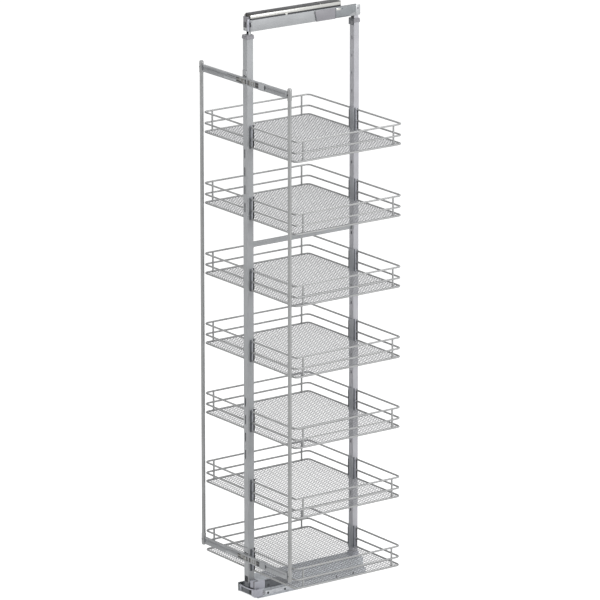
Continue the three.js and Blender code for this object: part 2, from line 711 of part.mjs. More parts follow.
function topChannel() {
  const top = topChannelZ + TOP_CHANNEL_HEIGHT;
  const section = channelSection(TOP_CHANNEL_WIDTH / 2, TOP_CHANNEL_SHEET, topChannelZ, top);
  return runAlongY(section, topChannelFrontY, topChannelRearY);
}

function cabinetRail() {
  const skirtZ = beamFootTopZ + CABINET_RAIL_SKIRT_GAP;
  const section = hoodSection(cabinetRailHalf, CABINET_RAIL_SHEET, skirtZ, cabinetRailTopZ);
  return runAlongY(section, cabinetRailFrontY, cabinetRailRearY);
}

// The beam's foot runs in the channel below, and its head runs in the rail above.
function middleBeam() {
  const footX = TOP_CHANNEL_WIDTH / 2 - TOP_CHANNEL_SHEET - RUN_GAP;
  const headX = cabinetRailHalf - CABINET_RAIL_SHEET - RUN_GAP;
  const webX = BEAM_WEB / 2;
  const section = outline([
    [-footX, beamFootZ], [footX, beamFootZ], [footX, beamFootTopZ], [webX, beamFootTopZ],
    [webX, beamHeadZ], [headX, beamHeadZ], [headX, beamTopZ], [-headX, beamTopZ],
    [-headX, beamHeadZ], [-webX, beamHeadZ], [-webX, beamFootTopZ], [-footX, beamFootTopZ],
  ]);
  return runAlongY(section, cabinetRailFrontY + BEAM_SETBACK, cabinetRailRearY - BEAM_SETBACK);
}

function damper() {
  const near = TOP_CHANNEL_WIDTH / 2 + SEAT_GAP;
  const foot = topChannelZ;
  const top = topChannelZ + TOP_CHANNEL_HEIGHT - DAMPER_BELOW_TOP;
  const rear = topChannelRearY - DAMPER_REAR_INSET;
  const front = rear - DAMPER_LENGTH;
  const face = outline([
    [front + DAMPER_SLANT, foot], [rear - DAMPER_NOTCH, foot],
    [rear, foot + DAMPER_NOTCH / 2], [rear, top], [front, top],
  ]);
  return runAlongX(face, near, near + DAMPER_THICKNESS);
}

// A folded box before the open front of the channel, with a plug down into the front tube.
function frontConnector() {
  const half = FRONT_CONNECTOR_WIDTH / 2;
  const sheet = FRONT_CONNECTOR_SHEET;
  const inside = half - sheet;
  const front = frontPostFaceY + FRONT_CONNECTOR_SETBACK;
  const back = topChannelFrontY - SEAT_GAP;
  const section = outline([
    [-half, front], [half, front], [half, back], [inside, back],
    [inside, front + sheet], [-inside, front + sheet], [-inside, back], [-half, back],
  ]);
  const cover = raised(section, topChannelZ, topChannelZ + FRONT_CONNECTOR_HEIGHT);
  const floor = box(-half, half, front, back, topChannelZ, topChannelZ + sheet);
  const tubeInside = POST_WALL + RUN_GAP + TUBE_WALL + SEAT_GAP;
  const plugX = halfPost - tubeInside;
  const plugFront = frontPostFaceY + tubeInside;
  const plugTop = topChannelZ - SEAT_GAP;
  const plugFoot = collarTopZ + SEAT_GAP;
  const plug = box(-plugX, plugX, plugFront, plugFront + CONNECTOR_DEPTH_IN, plugFoot, plugTop);
  const tongue = box(-plugX, plugX, plugFront, back, plugTop - OVERLAP, topChannelZ + OVERLAP);
  return joined([cover, floor, plug, tongue]);
}

// It carries on the section of the channel, because the beam and the cabinet rail pass through it.
function rearConnector() {
  const front = topChannelRearY + SEAT_GAP;
  const top = topChannelZ + REAR_CONNECTOR_HEIGHT;
  const section = channelSection(TOP_CHANNEL_WIDTH / 2, TOP_CHANNEL_SHEET, topChannelZ, top);
  return runAlongY(section, front, front + REAR_CONNECTOR_DEPTH);
}

// ---------------------------------------------------------------- door frame

function doorRod(x) {
  const r = ROD_D / 2;
  const capR = ROD_CAP_D / 2;
  const tip = capR / 2;
  const foot = lowerBarZ - BAR_HEIGHT / 2 - ROD_PAST_BAR;
  const top = upperBarZ + BAR_HEIGHT / 2 + ROD_PAST_BAR;
  const profile = [
    [0, foot], [tip, foot], [capR, foot + ROD_CAP_DOME],
    [capR, foot + ROD_CAP_LENGTH], [r, foot + ROD_CAP_LENGTH],
    [r, top - ROD_CAP_LENGTH], [capR, top - ROD_CAP_LENGTH],
    [capR, top - ROD_CAP_DOME], [tip, top], [0, top],
  ];
  const geometry = new THREE.LatheGeometry(profile.map(([a, b]) => new THREE.Vector2(a, b)), ROD_SIDES);
  geometry.rotateX(Math.PI / 2);
  geometry.translate(x, rodY, 0);
  return toSolid(geometry);
}

// A bar with a groove along its front, and a window in its back for the stem of the adjuster.
// Its ends stop short of the thick ends of the rods, which stand a little behind it.
function doorBar(z) {
  const half = BAR_HEIGHT / 2;
  const grooveHalf = half - BAR_LIP;
  const section = outline([
    [barFrontY, z - half], [barBackY, z - half], [barBackY, z + half], [barFrontY, z + half],
    [barFrontY, z + grooveHalf], [grooveY, z + grooveHalf - BAR_GROOVE_SLOPE],
    [grooveY, z - grooveHalf + BAR_GROOVE_SLOPE], [barFrontY, z - grooveHalf],
  ]);
  const capHalf = Math.sqrt((ROD_CAP_D / 2) ** 2 - Math.min(ROD_BEHIND_BAR, ROD_CAP_D / 2) ** 2);
  const endX = rodX - capHalf - SEAT_GAP;
  const bar = runAlongX(section, -endX, endX);
  const windowX = STEM_WIDTH / 2 + DOOR_PLAY + STEM_SIDE_GAP;
  const windowZ = STEM_HEIGHT / 2 + RUN_GAP;
  const [inFront, behind] = [grooveY - OVERCUT, barBackY + OVERCUT];
  const window = box(-windowX, windowX, inFront, behind, z - windowZ, z + windowZ);
  return without(bar, [window]);
}

// The plate on the post and the stem that reaches through the bar.
function doorBracket(z) {
  const half = BRACKET_WIDTH / 2;
  const front = bracketBackY - BRACKET_SHEET;
  const plate = box(-half, half, front, bracketBackY, z - BRACKET_BELOW, z + BRACKET_ABOVE);
  const stemX = STEM_WIDTH / 2;
  const stemZ = STEM_HEIGHT / 2;
  const stem = box(-stemX, stemX, stemFrontY, bracketBackY, z - stemZ, z + stemZ);
  return joined([plate, stem]);
}

function adjuster(z) {
  const half = BAR_HEIGHT / 2 - BAR_LIP - BAR_GROOVE_SLOPE - ADJUSTER_EDGE_GAP;
  const body = box(ADJUSTER_LEFT, ADJUSTER_RIGHT, adjusterFrontY, adjusterBackY, z - half, z + half);
  const spindleStart = ADJUSTER_RIGHT - OVERLAP;
  const spindleEnd = NUT_BLOCK_LEFT + SPINDLE_ENTRY;
  const middle = [(spindleStart + spindleEnd) / 2, spindleY, z];
  const spindle = rodAlong('x', SPINDLE_D, WIRE_SIDES, spindleEnd - spindleStart, middle);
  return joined([body, spindle]);
}

// The block in the groove that the adjuster's spindle pushes on.
function nutBlock(z) {
  const half = BAR_HEIGHT / 2 - BAR_LIP - BAR_GROOVE_SLOPE - SEAT_GAP;
  const back = grooveY - SEAT_GAP;
  const block = box(NUT_BLOCK_LEFT, NUT_BLOCK_RIGHT, barFrontY, back, z - half, z + half);
  const boreD = SPINDLE_D + 2 * NUT_BORE_GAP;
  const boreDepth = SPINDLE_ENTRY + DOOR_PLAY + NUT_BORE_SPARE;
  const bore = rodAlong('x', boreD, HOLE_STEPS, 2 * boreDepth, [NUT_BLOCK_LEFT, spindleY, z]);
  return without(block, [bore]);
}

// ---------------------------------------------------------------- assembly

const larder = new THREE.Group();

function place(parent, name, solid, material) {
  const mesh = new THREE.Mesh(toGeometry(solid), material);
  mesh.name = name;
  parent.add(mesh);
}

place(larder, 'floor_rail', floorRail(), BRIGHT_STEEL);
place(larder, 'floor_rail_liner', railLiner(), LIGHT_PLASTIC);
place(larder, 'floor_rail_cap_left', railCap(-1), LIGHT_PLASTIC);
place(larder, 'floor_rail_cap_right', railCap(1), LIGHT_PLASTIC);
place(larder, 'floor_middle_rail', middleRail(), BRIGHT_STEEL);
place(larder, 'floor_middle_liner', middleLiner(), LIGHT_PLASTIC);
place(larder, 'floor_carriage', carriage(), BRIGHT_STEEL);
place(larder, 'front_post_foot', frontFoot(), GREY_PLASTIC);
place(larder, 'rear_post_foot', rearFoot(), LIGHT_PLASTIC);

place(larder, 'front_post', frontPost(), SILVER_COAT);
place(larder, 'rear_post', rearPost(), SILVER_COAT);
place(larder, 'strut', strut(), SILVER_COAT);
place(larder, 'front_tube', innerTube(frontPostMidY, FRONT_POST_DEPTH), SILVER_COAT);
place(larder, 'rear_tube', innerTube(rearPostMidY, REAR_POST_DEPTH), SILVER_COAT);
place(larder, 'front_collar', collar(frontPostMidY, FRONT_POST_DEPTH), GREY_PLASTIC);
place(larder, 'rear_collar', collar(rearPostMidY, REAR_POST_DEPTH), GREY_PLASTIC);

place(larder, 'top_channel', topChannel(), BRIGHT_STEEL);
place(larder, 'top_middle_beam', middleBeam(), GREY_STEEL);
place(larder, 'top_cabinet_rail', cabinetRail(), BRIGHT_STEEL);
place(larder, 'top_damper', damper(), GREY_PLASTIC);
place(larder, 'top_front_connector', frontConnector(), LIGHT_PLASTIC);
place(larder, 'top_rear_connector', rearConnector(), BRIGHT_STEEL);

place(larder, 'door_rod_left', doorRod(-rodX), WIRE_COAT);
place(larder, 'door_rod_right', doorRod(rodX), WIRE_COAT);
for (const [level, z] of [['upper', upperBarZ], ['lower', lowerBarZ]]) {
  place(larder, `${level}_door_bar`, doorBar(z), SILVER_COAT);
  place(larder, `${level}_door_bracket`, doorBracket(z), BRIGHT_STEEL);
  place(larder, `${level}_door_adjuster`, adjuster(z), GREY_STEEL);
  place(larder, `${level}_door_nut_block`, nutBlock(z), LIGHT_PLASTIC);
}

const wires = basketWires();
const net = basketNet();
const frontHook = basketHook(frontPostBackY, -1);
const rearHook = basketHook(rearPostFaceY, 1);
for (let number = 1; number <= BASKET_COUNT; number += 1) {
  const basket = new THREE.Group();
  basket.position.z = topRimZ - (number - 1) * basketPitch;
  place(basket, `basket_${number}_wires`, wires, WIRE_COAT);
  place(basket, `basket_${number}_net`, net, WIRE_COAT);
  place(basket, `basket_${number}_front_hook`, frontHook, GREY_STEEL);
  place(basket, `basket_${number}_rear_hook`, rearHook, GREY_STEEL);
  larder.add(basket);
}

export default larder;
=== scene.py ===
"""Looks of the pull-out larder unit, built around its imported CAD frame.

X runs to the right side, Y to the rear and Z up, as in the frame. Lengths are in millimetres, and MM turns
them into metres where they reach Blender. The camera, the lamps and the floor are in metres.
"""

import math

import bmesh
import bpy
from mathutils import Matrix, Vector


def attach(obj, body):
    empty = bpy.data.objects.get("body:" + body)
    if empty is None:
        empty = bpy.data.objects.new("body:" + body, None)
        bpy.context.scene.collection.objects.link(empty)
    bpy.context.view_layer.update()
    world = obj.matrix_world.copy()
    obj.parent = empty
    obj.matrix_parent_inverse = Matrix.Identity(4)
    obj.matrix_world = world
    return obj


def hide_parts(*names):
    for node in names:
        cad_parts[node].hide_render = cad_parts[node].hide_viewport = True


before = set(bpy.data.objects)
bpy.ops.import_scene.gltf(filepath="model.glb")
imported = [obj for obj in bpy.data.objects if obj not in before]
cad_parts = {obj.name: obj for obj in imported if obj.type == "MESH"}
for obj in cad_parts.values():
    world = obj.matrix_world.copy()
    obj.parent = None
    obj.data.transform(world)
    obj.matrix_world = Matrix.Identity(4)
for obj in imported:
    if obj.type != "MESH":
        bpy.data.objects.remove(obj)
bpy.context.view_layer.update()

MM = 0.001
scene = bpy.context.scene
scene.view_settings.view_transform = "Standard"

# ------------------------------------------------------------------ camera

CAMERA_PLACE = (14.803386, -10.749967, 6.155934)
CAMERA_AZIMUTH = math.radians(54.0394334)  # round from the front towards the right side
CAMERA_HEIGHT = math.radians(15.6145893)
CAMERA_LENS = 324.714
CAMERA_SENSOR = 36.0
CAMERA_SHIFT_Y = -0.0004
CAMERA_CLIP = (0.5, 90.0)

flat = math.cos(CAMERA_HEIGHT)
camera_back = Vector((
    math.sin(CAMERA_AZIMUTH) * flat,
    -math.cos(CAMERA_AZIMUTH) * flat,
    math.sin(CAMERA_HEIGHT),
))
camera_data = bpy.data.cameras.new("camera")
camera_data.sensor_width = CAMERA_SENSOR
camera_data.lens = CAMERA_LENS
camera_data.shift_y = CAMERA_SHIFT_Y
camera_data.clip_start, camera_data.clip_end = CAMERA_CLIP
camera = bpy.data.objects.new("camera", camera_data)
camera.location = CAMERA_PLACE
camera.rotation_mode = "QUATERNION"
camera.rotation_quaternion = (-camera_back).to_track_quat("-Z", "Y")
scene.collection.objects.link(camera)
scene.camera = camera

# ------------------------------------------------------------------ light

# name, place, the point it shines at, width and height, power in watts
LAMPS = (
    ("key", (5.0, 1.2, 3.4), (0, 0, 1.0), (3.0, 3.4), 190),
    ("fill", (-1.5, -5.5, 2.2), (0, 0, 1.0), (3.0, 3.0), 55),
    ("top", (0.4, -0.4, 6.5), (0, 0, 0.6), (3.0, 3.0), 120),
)
STUDIO_COLOR = (0.93, 0.93, 0.94, 1)
STUDIO_STRENGTH = 0.42
WHITE = (1, 1, 1, 1)


def area_light(name, location, aim, size, power):
    data = bpy.data.lights.new(name, "AREA")
    data.shape = "RECTANGLE"
    data.size, data.size_y = size
    data.energy = power
    lamp = bpy.data.objects.new(name, data)
    lamp.location = location
    lamp.rotation_mode = "QUATERNION"
    lamp.rotation_quaternion = (Vector(aim) - Vector(location)).to_track_quat("-Z", "Y")
    scene.collection.objects.link(lamp)


def shown_directly(nodes, links):
    """1 where a camera, mirror or glass ray meets a surface, and 0 for the rays that carry its light."""
    path = nodes.new("ShaderNodeLightPath")
    either = nodes.new("ShaderNodeMath")
    either.operation = "MAXIMUM"
    links.new(path.outputs["Is Camera Ray"], either.inputs[0])
    links.new(path.outputs["Is Glossy Ray"], either.inputs[1])
    shown = nodes.new("ShaderNodeMath")
    shown.operation = "MAXIMUM"
    links.new(either.outputs[0], shown.inputs[0])
    links.new(path.outputs["Is Transmission Ray"], shown.inputs[1])
    return shown.outputs[0]


def light_world():
    """Soft grey light from all round, and plain white where the background itself is seen."""
    world = bpy.data.worlds.new("studio")
    scene.world = world
    world.use_nodes = True
    nodes, links = world.node_tree.nodes, world.node_tree.links
    nodes.clear()
    studio = nodes.new("ShaderNodeBackground")
    studio.inputs["Color"].default_value = STUDIO_COLOR
    studio.inputs["Strength"].default_value = STUDIO_STRENGTH
    white = nodes.new("ShaderNodeBackground")
    white.inputs["Color"].default_value = WHITE
    white.inputs["Strength"].default_value = 1.0
    mix = nodes.new("ShaderNodeMixShader")
    links.new(shown_directly(nodes, links), mix.inputs[0])
    links.new(studio.outputs[0], mix.inputs[1])
    links.new(white.outputs[0], mix.inputs[2])
    links.new(mix.outputs[0], nodes.new("ShaderNodeOutputWorld").inputs["Surface"])


for lamp_row in LAMPS:
    area_light(*lamp_row)
light_world()

# ------------------------------------------------------------------ materials

NOISE_LOW, NOISE_HIGH = 0.3, 0.7  # a noise seldom leaves this range
EVEN = (1, 1, 1)
ALONG_X = (0.03, 1, 1)
ALONG_Y = (1, 0.02, 1)
ALONG_Z = (1, 1, 0.03)
ROLLED = (1, 0.03, 1)
COAT_TONE = 0.10  # how far the cloudy tone of a coat goes each way


def principled(name, color, rough, metal):
    mat = bpy.data.materials.new(name)
    mat.use_nodes = True
    bsdf = mat.node_tree.nodes["Principled BSDF"]
    bsdf.inputs["Base Color"].default_value = (*color, 1)
    bsdf.inputs["Roughness"].default_value = rough
    bsdf.inputs["Metallic"].default_value = metal
    return mat, mat.node_tree.nodes, mat.node_tree.links, bsdf


def rgb(code):
    """Linear colour of an sRGB hex code."""
    parts = [int(code[i : i + 2], 16) / 255 for i in (0, 2, 4)]
    return tuple(p / 12.92 if p <= 0.04045 else ((p + 0.055) / 1.055) ** 2.4 for p in parts)


def shade(color, factor):
    return tuple(min(1.0, part * factor) for part in color)


def texture_space(nodes, links, stretch):
    coords = nodes.new("ShaderNodeTexCoord")
    mapping = nodes.new("ShaderNodeMapping")
    mapping.inputs["Scale"].default_value = stretch
    links.new(coords.outputs["Object"], mapping.inputs["Vector"])
    return mapping.outputs["Vector"]


def noise(nodes, links, space, scale, detail):
    node = nodes.new("ShaderNodeTexNoise")
    node.inputs["Scale"].default_value = scale
    node.inputs["Detail"].default_value = detail
    node.inputs["Roughness"].default_value = 0.55
    links.new(space, node.inputs["Vector"])
    return node.outputs["Fac"]


def two_tones(nodes, links, value, bsdf, low, high):
    """Base colour that goes from one tone to another. Each tone is a place on the ramp and a colour."""
    node = nodes.new("ShaderNodeValToRGB")
    for element, (position, color) in zip(node.color_ramp.elements, (low, high)):
        element.position = position
        element.color = (*color, 1)
    links.new(value, node.inputs["Fac"])
    links.new(node.outputs["Color"], bsdf.inputs["Base Color"])


def vary_roughness(nodes, links, value, bsdf, low, high):
    node = nodes.new("ShaderNodeMapRange")
    node.inputs["From Min"].default_value = NOISE_LOW
    node.inputs["From Max"].default_value = NOISE_HIGH
    node.inputs["To Min"].default_value = low
    node.inputs["To Max"].default_value = high
    links.new(value, node.inputs["Value"])
    links.new(node.outputs["Result"], bsdf.inputs["Roughness"])


def bump(nodes, links, height, bsdf, strength, distance):
    node = nodes.new("ShaderNodeBump")
    node.inputs["Strength"].default_value = strength
    node.inputs["Distance"].default_value = distance
    links.new(height, node.inputs["Height"])
    links.new(node.outputs["Normal"], bsdf.inputs["Normal"])


def coated(name, code, rough, metal):
    """Powder coat: a fine pebbled skin, faint cloudy tone, and sheen that varies with it."""
    color = rgb(code)
    mat, nodes, links, bsdf = principled(name, color, rough, metal)
    space = texture_space(nodes, links, EVEN)
    cloud = noise(nodes, links, space, scale=9, detail=4)
    pebbles = noise(nodes, links, space, scale=1400, detail=2)
    darker, lighter = shade(color, 1 - COAT_TONE), shade(color, 1 + COAT_TONE)
    two_tones(nodes, links, cloud, bsdf, (NOISE_LOW, darker), (NOISE_HIGH, lighter))
    vary_roughness(nodes, links, pebbles, bsdf, rough - 0.07, rough + 0.07)
    bump(nodes, links, pebbles, bsdf, strength=0.25, distance=0.00008)
    return mat


def galvanised(name, code, rough, metal):
    """Zinc coat: spangle cells of slightly different tone, fine rolling lines along Y."""
    color = rgb(code)
    mat, nodes, links, bsdf = principled(name, color, rough, metal)
    cells = nodes.new("ShaderNodeTexVoronoi")
    cells.inputs["Scale"].default_value = 130
    links.new(texture_space(nodes, links, EVEN), cells.inputs["Vector"])
    split = nodes.new("ShaderNodeSeparateColor")
    links.new(cells.outputs["Color"], split.inputs["Color"])
    lines = noise(nodes, links, texture_space(nodes, links, ROLLED), scale=700, detail=2)
    two_tones(nodes, links, split.outputs["Red"], bsdf, (0.0, shade(color, 0.9)), (1.0, shade(color, 1.08)))
    vary_roughness(nodes, links, lines, bsdf, rough - 0.1, rough + 0.1)
    bump(nodes, links, lines, bsdf, strength=0.2, distance=0.00006)
    return mat


def brushed(name, code, rough, metal, stretch):
    """Drawn or brushed metal, with fine lines along one axis."""
    color = rgb(code)
    mat, nodes, links, bsdf = principled(name, color, rough, metal)
    lines = noise(nodes, links, texture_space(nodes, links, stretch), scale=900, detail=3)
    cloud = noise(nodes, links, texture_space(nodes, links, EVEN), scale=14, detail=3)
    two_tones(nodes, links, cloud, bsdf, (NOISE_LOW, shade(color, 0.93)), (NOISE_HIGH, shade(color, 1.06)))
    vary_roughness(nodes, links, lines, bsdf, rough - 0.09, rough + 0.11)
    bump(nodes, links, lines, bsdf, strength=0.25, distance=0.00005)
    return mat


def moulded(name, code, rough):
    """Moulded plastic: a fine spark-eroded grain and faint flow marks."""
    color = rgb(code)
    mat, nodes, links, bsdf = principled(name, color, rough, 0.0)
    space = texture_space(nodes, links, EVEN)
    grain = noise(nodes, links, space, scale=2300, detail=2)
    flow = noise(nodes, links, space, scale=26, detail=4)
    two_tones(nodes, links, flow, bsdf, (NOISE_LOW, shade(color, 0.93)), (NOISE_HIGH, shade(color, 1.05)))
    vary_roughness(nodes, links, flow, bsdf, rough - 0.06, rough + 0.08)
    bump(nodes, links, grain, bsdf, strength=0.3, distance=0.00006)
    return mat


M_WIRE = coated("wire_coat", "a3a4a4", rough=0.52, metal=0.2)
M_NET = coated("net_coat", "86878a", rough=0.5, metal=0.2)
M_POST = coated("silver_coat", "a0a2a4", rough=0.42, metal=0.3)
# painted light: a paler copy of the silver coat, for the rear post and its tube, which are lit more
# brightly than the front ones
M_POST_LIT = coated("lit_silver_coat", "b1b1b6", rough=0.42, metal=0.2)
M_ROD = coated("rod_coat", "989999", rough=0.38, metal=0.35)
M_BAR = coated("bar_coat", "97999b", rough=0.4, metal=0.3)
M_BAR_PALE = coated("bar_pale_coat", "a9abad", rough=0.38, metal=0.35)
M_ZINC = galvanised("galvanised", "cfd2d6", rough=0.4, metal=0.3)
# painted light: a brighter copy of the zinc for the carriage, making up for the shade that the baskets'
# nets cast on it
M_CARRIAGE_LIT = galvanised("lit_carriage_zinc", "dfe3e8", rough=0.5, metal=0.05)
M_PLATE = brushed("channel_zinc", "a1a3a5", rough=0.55, metal=0.15, stretch=ALONG_Y)
M_BEAM = brushed("beam_aluminium", "c3c3bf", rough=0.34, metal=0.5, stretch=ALONG_Y)
M_HOOK = brushed("hook_steel", "57595e", rough=0.42, metal=0.3, stretch=ALONG_Z)
M_HOOK_RIB = brushed("hook_rib_steel", "73757a", rough=0.4, metal=0.4, stretch=ALONG_Z)
M_HOOK_FACE = brushed("hook_face_steel", "999b9f", rough=0.45, metal=0.3, stretch=ALONG_Z)
M_FITTING = brushed("fitting_steel", "7d7c78", rough=0.4, metal=0.5, stretch=ALONG_X)
M_LIGHT = moulded("light_plastic", "c0c1ca", rough=0.45)
M_GREY = moulded("grey_plastic", "8c8b90", rough=0.5)
# stone plastic, and painted shade: on the left corners of the nose and the floor rail it is a darker copy
# of the light plastic of the right ones
M_STONE_AND_SHADE = moulded("stone_plastic_and_painted_shade", "868a8d", rough=0.5)
# slate plastic, and painted shade: the dark sheet on the carriage's side, the channel's rolled edges and
# the nose's filling drawn in it are painted shade
M_SLATE_AND_SHADE = moulded("slate_plastic_and_painted_shade", "66696d", rough=0.5)
# dark plastic, and painted shade: the slots, cuts, gaps, holes, the rail's skirt and the dark sheets behind
# openings drawn in it are painted shade
M_DARK_AND_SHADE = moulded("dark_plastic", "262629", rough=0.5)

# ------------------------------------------------------------------ stage

FLOOR_HALF = 40.0
FLOOR_Z = -0.0005
FLOOR_COLOR = (0.8, 0.8, 0.8, 1)
FLOOR_SEEN = (0.42, 0.42, 0.42, 1)  # its colour where it is seen, which is what makes the shadow show
FLOOR_GLOW = 0.9


def white_floor():
    """Floor that looks white but for the shadow on it, and lights the object as a pale matt floor would."""
    mesh = bpy.data.meshes.new("floor")
    corners = [(-1, -1), (1, -1), (1, 1), (-1, 1)]
    mesh.from_pydata([(x * FLOOR_HALF, y * FLOOR_HALF, FLOOR_Z) for x, y in corners], [], [(0, 1, 2, 3)])
    floor = bpy.data.objects.new("floor", mesh)
    scene.collection.objects.link(floor)

    mat = bpy.data.materials.new("pale_floor")
    mat.use_nodes = True
    nodes, links = mat.node_tree.nodes, mat.node_tree.links
    nodes.clear()
    matt = nodes.new("ShaderNodeBsdfDiffuse")
    matt.inputs["Color"].default_value = FLOOR_COLOR
    seen_matt = nodes.new("ShaderNodeBsdfDiffuse")
    seen_matt.inputs["Color"].default_value = FLOOR_SEEN
    glow = nodes.new("ShaderNodeEmission")
    glow.inputs["Color"].default_value = WHITE
    glow.inputs["Strength"].default_value = FLOOR_GLOW
    seen = nodes.new("ShaderNodeAddShader")
    links.new(seen_matt.outputs[0], seen.inputs[0])
    links.new(glow.outputs[0], seen.inputs[1])
    mix = nodes.new("ShaderNodeMixShader")
    links.new(shown_directly(nodes, links), mix.inputs[0])
    links.new(matt.outputs[0], mix.inputs[1])
    links.new(seen.outputs[0], mix.inputs[2])
    links.new(mix.outputs[0], nodes.new("ShaderNodeOutputMaterial").inputs["Surface"])
    mesh.materials.append(mat)


white_floor()

# ------------------------------------------------------------------ shapes

SHARP_ANGLE = 0.6  # a smooth surface breaks where its faces meet at more than this, in radians


def about(middle, half):
    """Low and high bound of a stretch, from its middle."""
    return middle - half, middle + half


def flank(side, inner, outer):
    """Low and high X of a stretch between two distances from the middle, on side 1 (right) or -1 (left)."""
    return sorted((side * inner, side * outer))


class Shape:
    """Faces of one piece. A form that names no material gets the one that the piece starts with."""

    def __init__(self, material):
        self.verts = []
        self.faces = []
        self.smooth = []
        self.slots = []
        self.materials = [material]

    def add(self, verts, faces, flat_faces, material):
        """Adds smooth faces and flat ones over new vertices."""
        if material is None:
            material = self.materials[0]
        if material not in self.materials:
            self.materials.append(material)
        first = len(self.verts)
        self.verts += [tuple(v) for v in verts]
        for group, smooth in ((faces, True), (flat_faces, False)):
            self.faces += [tuple(first + i for i in face) for face in group]
            self.smooth += [smooth] * len(group)
            self.slots += [self.materials.index(material)] * len(group)
        return self

    def add_rounded(self, bm, material, bevel, segments, angle):
        """Rounds the edges of a bmesh that are sharper than the angle, and adds it."""
        edges = [e for e in bm.edges if len(e.link_faces) == 2 and e.calc_face_angle() > angle]
        bmesh.ops.bevel(bm, geom=edges, offset=bevel, segments=segments, profile=0.5,
                        affect="EDGES", clamp_overlap=True)
        bm.verts.index_update()
        faces = [[v.index for v in f.verts] for f in bm.faces]
        self.add([v.co for v in bm.verts], faces, [], material)
        bm.free()
        return self

    def box(self, x, y, z, material=None, bevel=0.5, segments=2):
        """A box between pairs of bounds, with rounded edges."""
        bm = bmesh.new()
        bmesh.ops.create_cube(bm, size=1.0)
        for v in bm.verts:
            v.co = [low + (c + 0.5) * (high - low) for c, (low, high) in zip(v.co, (x, y, z))]
        return self.add_rounded(bm, material, bevel, segments, angle=0.5)

    def boxes(self, rows):
        """Boxes from rows of what box takes: x, y, z, and then the material, the rounding and its steps."""
        for row in rows:
            self.box(*row)
        return self

    def prism(self, outline, axis, ends, material=None, bevel=0.5, segments=2, angle=0.5):
        """An outline in the two other axes, run along one axis from end to end."""
        order = {"x": (2, 0, 1), "y": (0, 2, 1), "z": (0, 1, 2)}[axis]
        bm = bmesh.new()
        lower, upper = [
            [bm.verts.new([(a, b, level)[i] for i in order]) for a, b in outline] for level in ends
        ]
        bm.faces.new(lower[::-1])
        bm.faces.new(upper)
        for i in range(len(outline)):
            j = (i + 1) % len(outline)
            bm.faces.new((lower[i], lower[j], upper[j], upper[i]))
        bmesh.ops.recalc_face_normals(bm, faces=bm.faces)
        return self.add_rounded(bm, material, bevel, segments, angle)

    def skin(self, rings, material):
        """A smooth skin over rings of points, closed flat at both ends."""
        sides = len(rings[0])
        verts = [v for ring in rings for v in ring]
        walls = []
        for a in range(0, len(verts) - sides, sides):
            b = a + sides
            for k in range(sides):
                j = (k + 1) % sides
                walls.append((a + k, a + j, b + j, b + k))
        last = len(verts) - sides
        return self.add(verts, walls, [range(sides)[::-1], range(last, len(verts))], material)

    def sweep(self, points, radius, sides, material=None):
        """A round wire through the points."""
        points = [Vector(p) for p in points]
        steps = [(b - a).normalized() for a, b in zip(points, points[1:])]
        nowhere = Vector((0, 0, 0))
        tangents = [(a + b).normalized() for a, b in zip([nowhere] + steps, steps + [nowhere])]
        upright = abs(tangents[0].z) >= 0.9
        normal = Vector((1, 0, 0)) if upright else Vector((0, 0, 1))
        rings = []
        for here, tangent in zip(points, tangents):
            normal = (normal - tangent * normal.dot(tangent)).normalized()
            across = tangent.cross(normal)
            turns = [2 * math.pi * k / sides for k in range(sides)]
            rings.append([here + (normal * math.cos(t) + across * math.sin(t)) * radius for t in turns])
        return self.skin(rings, material)

    def lathe(self, profile, centre, axis, sides, material=None):
        """A turned form: (radius, height) pairs about an axis through the centre."""
        order = {"x": (2, 0, 1), "y": (1, 2, 0), "z": (0, 1, 2)}[axis]
        rings = []
        for radius, height in profile:
            ring = []
            for k in range(sides):
                turn = 2 * math.pi * k / sides
                local = (radius * math.cos(turn), radius * math.sin(turn), height)
                ring.append(Vector([local[i] for i in order]) + Vector(centre))
            rings.append(ring)
        return self.skin(rings, material)

    def stud(self, radius, ends, centre, axis, sides, material=None, tip=0.5):
        """A short round head, whose second end closes in a ring of the tip's radius."""
        start, end = ends
        return self.lathe([(radius, start), (radius, end), (tip, end)], centre, axis, sides, material)

    def mesh(self, name):
        mesh = bpy.data.meshes.new(name)
        mesh.from_pydata([[c * MM for c in v] for v in self.verts], [], self.faces)
        for material in self.materials:
            mesh.materials.append(material)
        mesh.polygons.foreach_set("use_smooth", self.smooth)
        mesh.polygons.foreach_set("material_index", self.slots)
        mesh.validate()
        bm = bmesh.new()
        bm.from_mesh(mesh)
        bmesh.ops.recalc_face_normals(bm, faces=bm.faces)
        bm.to_mesh(mesh)
        bm.free()
        mesh.set_sharp_from_angle(angle=SHARP_ANGLE)
        mesh.update()
        return mesh


def place(name, mesh, body, replaced=(), at=(0, 0, 0)):
    """A piece that rides a body and stands for the CAD nodes that it replaces."""
    obj = bpy.data.objects.new(name, mesh)
    obj.location = [c * MM for c in at]
    scene.collection.objects.link(obj)
    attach(obj, body)
    if replaced:
        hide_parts(*replaced)


def place_shape(name, shape, body, replaced=()):
    place(name, shape.mesh(name), body, replaced)


# ------------------------------------------------------------------ posts

POST_HALF = 12.5
FRONT_POST = (-244, -218.5)
REAR_POST = (213.5, 235)

# ------------------------------------------------------------------ baskets

BASKETS = 7
PITCH = 256
LOWEST_RIM = 164  # the heights below are from the rim of a basket
HALF_W = 274.6  # to the middle of the wires
HALF_D = 227
CORNER_R = 15
CORNER_STEPS = 10
WIRE_R = 3.3
WIRE_SIDES = 12
MIDDLE_RING = -40
FLOOR_RING = -71
UPRIGHT_X = 270.5
UPRIGHT_Y = 193
UPRIGHT_TOP = 0.5
UPRIGHT_FOOT = FLOOR_RING - 1
NET_PITCH = 12.5
NET_R = 0.92
NET_SIDES = 6
NET_Z = FLOOR_RING
NET_LAYER = 0.8 * NET_R  # from the middle of the net to each layer, as crossing wires are pressed together
NOTCH_X = 15.5  # the net leaves room for the hooks
NOTCH_Y = 211

